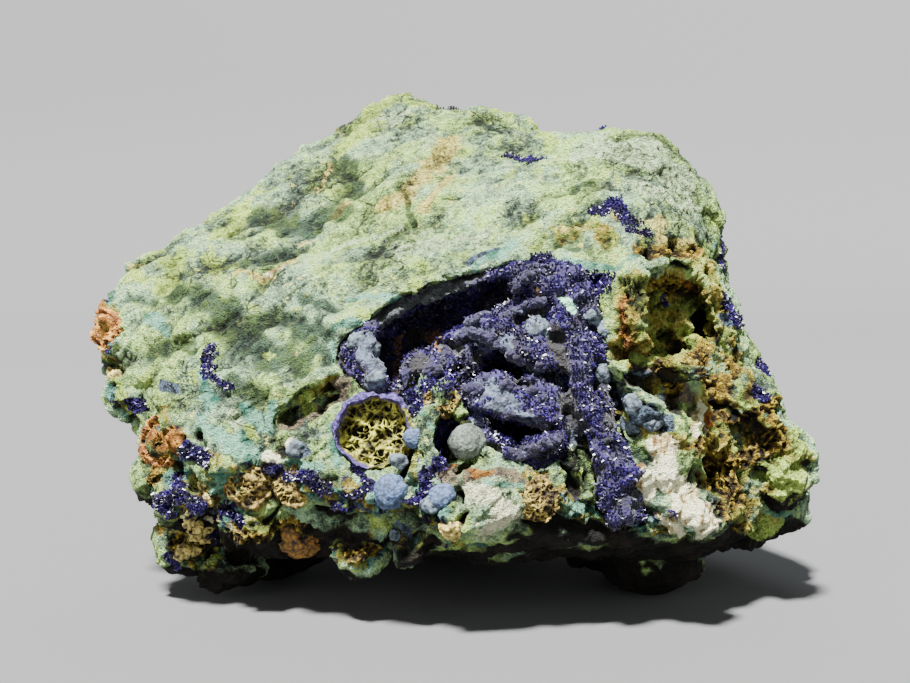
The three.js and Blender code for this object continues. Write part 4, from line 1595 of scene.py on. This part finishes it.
# Partly painted shade, partly darker stone: the dark strokes multiply the colour by a grey-green tint.
colour = (1 - patch("dark", 0.35, 0.95)).dim(colour, SHADE_TINT)
pale_tone = (fine + speck * 0.5 + low * 0.12).between(0.45, 1.0)
colour = patch("pale", 0.4, 0.9).blend(colour, pale_tone.blend(PALE_SHADE, PALE_STONE))
colour = patch("lime", 0.4, 0.85).blend(colour, tone.blend(LIME, LIME_PALE))
colour = patch("malachite", 0.4, 0.9).blend(colour, middle.between(0.36, 0.6).blend(MALACHITE, MALACHITE_PALE))
# Partly painted shade: the honeycomb's cells and the low places are painted darker than its walls.
ochre_tone = (stone.field("comb_wall") * 0.7 + (fine - 0.5) * 2.4 + low * 0.3).between(-0.2, 1.2)
colour = patch("ochre").blend(colour, stone.ramp(ochre_tone, ochre_stops))
colour = patch("rust").blend(colour, fine.between(0.35, 0.65).blend(RUST, RUST_PALE))
colour = patch("blue", 0.4, 0.6, 0.6).blend(colour, fine.between(0.35, 0.65).blend(SLATE, POWDER_BLUE))
colour = patch("azurite", 0.36, 0.6).blend(colour, azure)
print("nodes with the minerals:", len(stone.tree.nodes))

# %% [markdown]
# The underside is painted dark brown as shade. The pits between specks are darker, as dirt and as painted shade, the
# cracks hold dirt, and low places and the deep places where few lines get out are painted darker as shade. All but
# the first of these are tints again.

# %% Dirt and painted shade
SPECK_DIRT_AND_SHADE_TINT = (0.50, 0.51, 0.48)
CRACK_TINT = (0.30, 0.29, 0.25)
LOW_SHADE_TINT = (0.22, 0.22, 0.19)
DEEP_SHADE_TINT = (0.10, 0.085, 0.07)

# Painted shade: the underside is painted dark brown.
underside_shade = middle.between(0.4, 0.7).blend(UNDERSIDE_DEEP_SHADE, UNDERSIDE_SHADE)
colour = (stone.field("under") + (middle - 0.5) * 0.9).between(0.2, 0.75).blend(colour, underside_shade)
# Dirt and painted shade: the pits of the speckle, which the bump also sinks, are painted darker.
colour = (speck + (dust - 0.5) * 0.8).between(0.22, 0.62).dim(colour, SPECK_DIRT_AND_SHADE_TINT)
colour = cracked.dim(colour, CRACK_TINT)
# Painted shade: the low places of the relief are painted darker.
colour = (low + (fine - 0.5) * 1.6).between(-1.4, 0.2).dim(colour, LOW_SHADE_TINT)
# Painted shade: places that few lines leave are painted darker, as little light would reach them.
open_at = stone.field("open") + (fine - 0.5) * 0.3
colour = open_at.between(0.05, 0.5).dim(colour, DEEP_SHADE_TINT)
print("nodes with dirt and depth:", len(stone.tree.nodes))

# %% [markdown]
# Cream and chalk come after the dirt and the painted shade, with weaker painted shade of their own, because they are
# clean and let light through. The cream's noise is drawn out upwards into fibres. The gaps come last and are painted
# nearly black, as shade. Azurite is a little smoother than stone, and the bump adds the finest grain, which the mesh
# can't carry.

# %% Cream, chalk, gaps and bump
CREAM_DEEP_SHADE_TINT = (0.50, 0.38, 0.26)
CHALK_DEEP_SHADE_TINT = (0.34, 0.30, 0.22)
FIBRE_LEAN = (0.0, 0.25, 0.0)
FIBRE_SCALE = (1.0, 1.0, 0.22)
ROCK_ROUGHNESS = 0.92

fibre = stone.noise(1.6, 3.0, 0.6, 0.0, (FIBRE_LEAN, FIBRE_SCALE))
cream_tone = (fibre + low * 0.06 + (middle - 0.5) * 0.9).between(0.24, 0.60)
# Painted shade: the cream is painted darker, though less, where few lines get out.
creamy = open_at.between(0.0, 0.4).dim(stone.ramp(cream_tone, cream_stops), CREAM_DEEP_SHADE_TINT)
colour = patch("cream").blend(colour, creamy)
chalk_tone = (fine * 0.8 + speck * 0.6 + low * 0.1).between(0.48, 0.86)
# Painted shade on the chalk as well, where few lines get out.
chalky = open_at.between(0.0, 0.5).dim(chalk_tone.blend(CHALK_SHADE, CHALK), CHALK_DEEP_SHADE_TINT)
colour = patch("chalk", 0.4, 0.8).blend(colour, chalky)
# Painted shade: the gaps are painted nearly black.
colour = patch("gap", 0.45, 0.8, 0.7).blend(colour, GAP_SHADE)
rock_material = stone.finish(
    colour,
    ROCK_ROUGHNESS - 0.2 * patch("azurite"),
    fine * 1.1 + speck * 1.1 + dust * 0.35 + middle * 0.6 + cracked * 0.25,
    2.4,
    1.0,
    Specular_IOR_Level=0.25,
)
for piece in (rock, *zone_skins):
    piece.data.materials.append(rock_material)
print("rock nodes:", len(rock_material.node_tree.nodes))

# %% [markdown]
# ## The finish of azurite
#
# Azurite absorbs all but violet-blue. On a velvet of crystals the tips catch the light, so crests are painted
# brighter and the valleys nearly black, as painted highlight and painted shade, with a soft sheen over all. Grey
# patches come and go with a broad noise, and the strokes cast onto the crust lay their dust and their stains over it.
# Each stain is a pair of colours that the nap mixes. The bare stone under the lip, the gaps in gloom and the places
# that few lines leave are painted dark, as shade.

# %% Velvet of azurite
GREY = ((0.008, 0.010, 0.014), (0.052, 0.068, 0.095))
GREY_BLUE = ((0.012, 0.015, 0.026), (0.085, 0.11, 0.165))
BROWN = ((0.022, 0.009, 0.004), (0.17, 0.07, 0.02))
GREEN = (MALACHITE, (0.30, 0.66, 0.42))
LIP_STONE_SHADE = ((0.012, 0.012, 0.014), (0.06, 0.07, 0.07))
GLOOM_SHADE = (0.006, 0.004, 0.006)
DEEP_SHADE_BLUE = (0.003, 0.002, 0.007)

velvet = Finish("azurite_velvet")
nap = velvet.noise(0.8, 3.0, 0.7)
sweep = velvet.noise(5.0, 3.0)
height = velvet.field("relief")


def stained(name, fray, edge):
    """Where a stroke of the crust lies, with its edge frayed by the nap."""
    return (velvet.field(name) + (nap - 0.5) * fray).between(*edge)


# Partly painted highlight and shade: the crust's height makes crests brighter and valleys darker.
lit = (height * 0.35 + nap * 1.3 + sweep * 0.8).between(0.75, 1.95)
colour = velvet.ramp(lit, [(0.0, AZURITE_DARK), (0.5, AZURITE), (1.0, AZURITE_BRIGHT)])
greyed = (sweep + (nap - 0.5) * 0.8).between(0.58, 0.76)
colour = greyed.blend(colour, nap.between(0.35, 0.7).blend(*GREY))
dusted = (velvet.field("dust") + (nap - 0.5) * 1.3 + (sweep - 0.5) * 0.8 + height * 0.15).between(0.35, 0.7)
dust_tone = (nap + (sweep - 0.5) * 0.8).between(0.3, 0.7)
colour = dusted.blend(colour, dust_tone.blend(*GREY_BLUE))
colour = stained("brown", 0.9, (0.4, 0.6)).blend(colour, nap.between(0.4, 0.6).blend(*BROWN))
colour = stained("green", 0.9, (0.35, 0.55)).blend(colour, nap.between(0.3, 0.6).blend(*GREEN))
# Bare stone under the lip, painted dark as shade.
colour = stained("bare", 1.2, (0.35, 0.6)).blend(colour, nap.between(0.35, 0.65).blend(*LIP_STONE_SHADE))
# Painted shade: the gaps in gloom are painted nearly black.
colour = stained("gloom", 0.6, (0.3, 0.7)).blend(colour, GLOOM_SHADE)
# Painted shade: places that few lines leave are painted deep blue-black.
colour = velvet.field("open").between(0.05, 0.6).blend(DEEP_SHADE_BLUE, colour)
velvet_material = velvet.finish(
    colour, 0.8, nap + velvet.grains(0.6) * 0.5, 0.6, 1.0, Sheen_Weight=0.15, Sheen_Roughness=0.4
)
for piece in (crust, ropes):
    piece.data.materials.append(velvet_material)
print("velvet nodes:", len(velvet_material.node_tree.nodes))

# %% [markdown]
# The separate crystals are smoother than the velvet, so that they glint. Two noises make their colour: a fine one
# tells neighbours apart, and a broad one makes whole patches darker or paler. The palest colour is a painted glint.

# %% Crystals of azurite
CRYSTAL_STOPS = [
    (0.56, (0.0012, 0.0006, 0.005)),
    (0.69, (0.006, 0.0022, 0.034)),
    (0.80, (0.022, 0.009, 0.105)),
    (0.91, (0.060, 0.036, 0.20)),
    # Painted highlight: this palest stop stands for glints.
    (1.0, (0.14, 0.11, 0.30)),
]

glint = Finish("azurite_crystals")
tint = glint.noise(0.7, 2.0, 0.6) * 0.45 + glint.noise(6.0, 3.0, 0.7) * 0.9
crystal_material = glint.finish(glint.ramp(tint, CRYSTAL_STOPS), 0.34, glint.noise(0.3), 0.05, 0.3)
for piece in (crust_crystals, patch_crystals):
    piece.data.materials.append(crystal_material)
print("crystal nodes:", len(crystal_material.node_tree.nodes))

# %% [markdown]
# ## The finish of the nodules and the balls
#
# The honeycomb's walls are painted yellow, as light passing through them would make them, and the cells are painted
# umber, as shade. The rust nodules are the same growth, redder, and the cup's rim is azurite.

# %% Honeycomb finishes
def comb_finish(name, shaded_cell_floor, wall_low, lit_wall, rim_stops=None):
    """Honeycomb from cells painted dark, as shade, to walls painted bright, as light passing through them, with a rim
    of its own colours if stops are given for it.
    """
    comb_look = Finish(name)
    dusting = comb_look.noise(0.9, 4.0, 0.75)
    blotch = comb_look.noise(3.0, 3.0)
    tone = (comb_look.field("ridge") * 0.75 + (dusting - 0.5) * 1.6 + (blotch - 0.5) * 0.8).between(-0.1, 1.0)
    colour = comb_look.ramp(tone, [(0.0, shaded_cell_floor), (0.45, wall_low), (1.0, lit_wall)])
    if rim_stops is not None:
        rim = (comb_look.field("rim") + (blotch - 0.5) * 1.2 + (dusting - 0.5) * 0.8).between(0.4, 0.6)
        colour = rim.blend(colour, comb_look.ramp(dusting, rim_stops))
    return comb_look.finish(colour, 0.88, dusting + comb_look.noise(0.4), 0.5, 1.0)


RIM_STOPS = [(0.36, AZURITE_DARK), (0.48, (0.030, 0.016, 0.11)), (0.62, (0.13, 0.095, 0.29))]
# Painted shade and light: each row gives a piece, a name, the cell floor painted dark as shade, the wall's darker
# colour, the wall painted bright as light through it, and for the cup the rim's stops.
COMBS = (
    (cupped_nodule, "lime_honeycomb", (0.010, 0.007, 0.002), (0.12, 0.105, 0.012), (0.55, 0.54, 0.08), RIM_STOPS),
    (yellow_nodules, "ochre_honeycomb", (0.012, 0.007, 0.002), (0.13, 0.080, 0.012), (0.50, 0.40, 0.09)),
    (rust_nodules, "rust_honeycomb", (0.020, 0.007, 0.002), (0.26, 0.090, 0.012), (0.70, 0.36, 0.06)),
)
for piece, *look in COMBS:
    piece.data.materials.append(comb_finish(*look))
print("honeycomb materials:", len(COMBS))

# %% [markdown]
# The balls, the knobs and the crumbs are powdery. A pale bloom lies on them, thinner in the grain's hollows, which
# also paints shade there, and painted shade darkens the places that are hardly open.

# %% Powdery finishes
OCCLUDED_SHADE_TINT = (0.14, 0.13, 0.12)


def powder_finish(name, dark, pale):
    """A dull skin between a dark and a pale colour, painted darker as shade where it is hardly open."""
    powder = Finish(name)
    bloom = powder.noise(1.4, 3.0, 0.65)
    dirt = powder.noise(3.2, 3.0, 0.7)
    grain = powder.field("grain")
    # Partly painted shade: the grain's hollows are darker, as thinner bloom and as shade.
    tone = (bloom * 0.8 + dirt * 0.9 + (0.5 - grain) * 0.5).between(0.55, 1.1)
    colour = tone.blend(dark, pale)
    # Painted shade: places that few lines leave are painted darker.
    colour = (powder.field("open") + (bloom - 0.5) * 0.3).between(0.05, 0.6).dim(colour, OCCLUDED_SHADE_TINT)
    return powder.finish(colour, 0.8, powder.noise(0.35) + bloom, 0.25, 0.8)


POWDERS = (
    (blue_balls, "powder_blue", (0.018, 0.028, 0.058), (0.078, 0.125, 0.235)),
    (grey_ball, "powder_grey", (0.022, 0.028, 0.020), (0.12, 0.145, 0.12)),
    (knobs, "slate_knobs", (0.008, 0.011, 0.016), (0.10, 0.135, 0.17)),
    (amber_ball, "powder_amber", (0.016, 0.007, 0.002), (0.26, 0.125, 0.015)),
    (crumb_nodules, "gold_crumbs", (0.03, 0.020, 0.004), (0.60, 0.47, 0.13)),
)
for piece, *look in POWDERS:
    piece.data.materials.append(powder_finish(*look))
print("powdery materials:", len(POWDERS), "of", len(bpy.data.materials), "in all")

# %% [markdown]
# ## Floor
#
# The floor is one wide pale sheet that curves up far away on every side, so no horizon shows from any angle. It is
# spun from a profile: flat to a few steps away, then an arc, then a straight slope.

# %% Floor
FLAT_RADIUS = 2.2
BEND_RADIUS = 1.8
BEND_STEPS = 10
BEND_TO = math.radians(50)
SLOPE_LENGTH = 1.2
FLOOR_SIDES = 72
PAPER_GREY = (0.10, 0.102, 0.103, 1)

bm = bmesh.new()
profile = [Vector((0, 0, 0)), Vector((FLAT_RADIUS, 0, 0))]
for step in range(1, BEND_STEPS + 1):
    angle = BEND_TO * step / BEND_STEPS
    profile.append(Vector((FLAT_RADIUS + BEND_RADIUS * math.sin(angle), 0, BEND_RADIUS * (1 - math.cos(angle)))))
profile.append(profile[-1] + SLOPE_LENGTH * Vector((math.cos(BEND_TO), 0, math.sin(BEND_TO))))
corners = [bm.verts.new(place) for place in profile]
edges = [bm.edges.new(pair) for pair in zip(corners, corners[1:])]
bmesh.ops.spin(
    bm, geom=corners + edges, cent=(0, 0, 0), axis=(0, 0, 1), steps=FLOOR_SIDES, angle=math.tau, use_merge=True
)
bmesh.ops.remove_doubles(bm, verts=bm.verts, dist=1e-4)
bmesh.ops.recalc_face_normals(bm, faces=bm.faces)
if sum(face.normal.z for face in bm.faces) < 0:
    bmesh.ops.reverse_faces(bm, faces=bm.faces)
floor = new_piece("studio_floor", bm)
floor.data.shade_smooth()
paper = Finish("pale_paper")
floor.data.materials.append(paper.finish(PAPER_GREY, 0.9, paper.noise(3.0), 0.05, 0.2))
print("floor faces:", len(floor.data.polygons))

# %% [markdown]
# ## Light
#
# The key light is a sun that is wide enough to soften its shadows. It stands high in front, so the top slope is
# bright while the hollow under its lip and the underside are dark, as in the photograph. Weak broad lamps fill the
# shadows from both sides and from behind: each has a place, a width in metres, a power in watts and a colour.

# %% Lights
LAMPS = {
    "fill": ((0.5, -0.7, 0.35), 0.8, 2.0, (0.92, 0.96, 1.0)),
    "left": ((-0.6, -0.6, 0.2), 0.6, 3.0, (1.0, 0.98, 0.95)),
    "back": ((0.1, 0.5, 0.6), 0.5, 2.0, (0.92, 0.97, 1.0)),
}
KEY_FROM = Vector((-0.15, -0.36, 0.92))
KEY_STRENGTH = 26.0
KEY_SPREAD = 0.14
KEY_COLOUR = (1.0, 1.0, 0.97)
AIR_COLOUR = (0.80, 0.88, 0.95, 1)
AIR_STRENGTH = 0.14
AIM = Vector((0, 0, 0.05))


def aimed(name, lamp, place, target):
    """Puts a lamp in the scene at a place, turned towards a target."""
    light = bpy.data.objects.new(name, lamp)
    turn = (target - place).to_track_quat("-Z", "Y").to_matrix().to_4x4()
    light.matrix_world = Matrix.Translation(place) @ turn
    bpy.context.scene.collection.objects.link(light)


key = bpy.data.lights.new("key", "SUN")
key.energy = KEY_STRENGTH
key.angle = KEY_SPREAD
key.color = KEY_COLOUR
aimed("key", key, KEY_FROM, AIM)
for name, (place, size, watts, tint) in LAMPS.items():
    lamp = bpy.data.lights.new(name, "AREA")
    lamp.size = size
    lamp.energy = watts
    lamp.color = tint
    aimed(name, lamp, Vector(place), AIM)

world = bpy.data.worlds.new("studio_air")
world.use_nodes = True
air = world.node_tree.nodes["Background"]
air.inputs["Color"].default_value = AIR_COLOUR
air.inputs["Strength"].default_value = AIR_STRENGTH
bpy.context.scene.world = world
print("lamps:", 1 + len(LAMPS))

# %% [markdown]
# ## Handing over
#
# Every piece is attached to the body that it moves with. The two solids keep their work in the physics model, where
# the skins replace them only for the eye.

# %% Hand over
NODULE_PIECES = (cupped_nodule, yellow_nodules, rust_nodules, blue_balls, grey_ball, amber_ball, knobs, crumb_nodules)
ROCK_PIECES = (rock, *zone_skins, *NODULE_PIECES)
AZURITE_PIECES = (crust, ropes, crust_crystals, patch_crystals)

for piece in (*ROCK_PIECES, *AZURITE_PIECES):
    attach(piece, "root")
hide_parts("host_rock")
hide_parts("azurite_crust")

triangles = {piece.name: triangle_count(piece) for piece in (*ROCK_PIECES, *AZURITE_PIECES)}
print(triangles, "in all", sum(triangles.values()))

# %% [markdown]
# Last, the view layer is brought up to date.

# %% Update the view layer
bpy.context.view_layer.update()
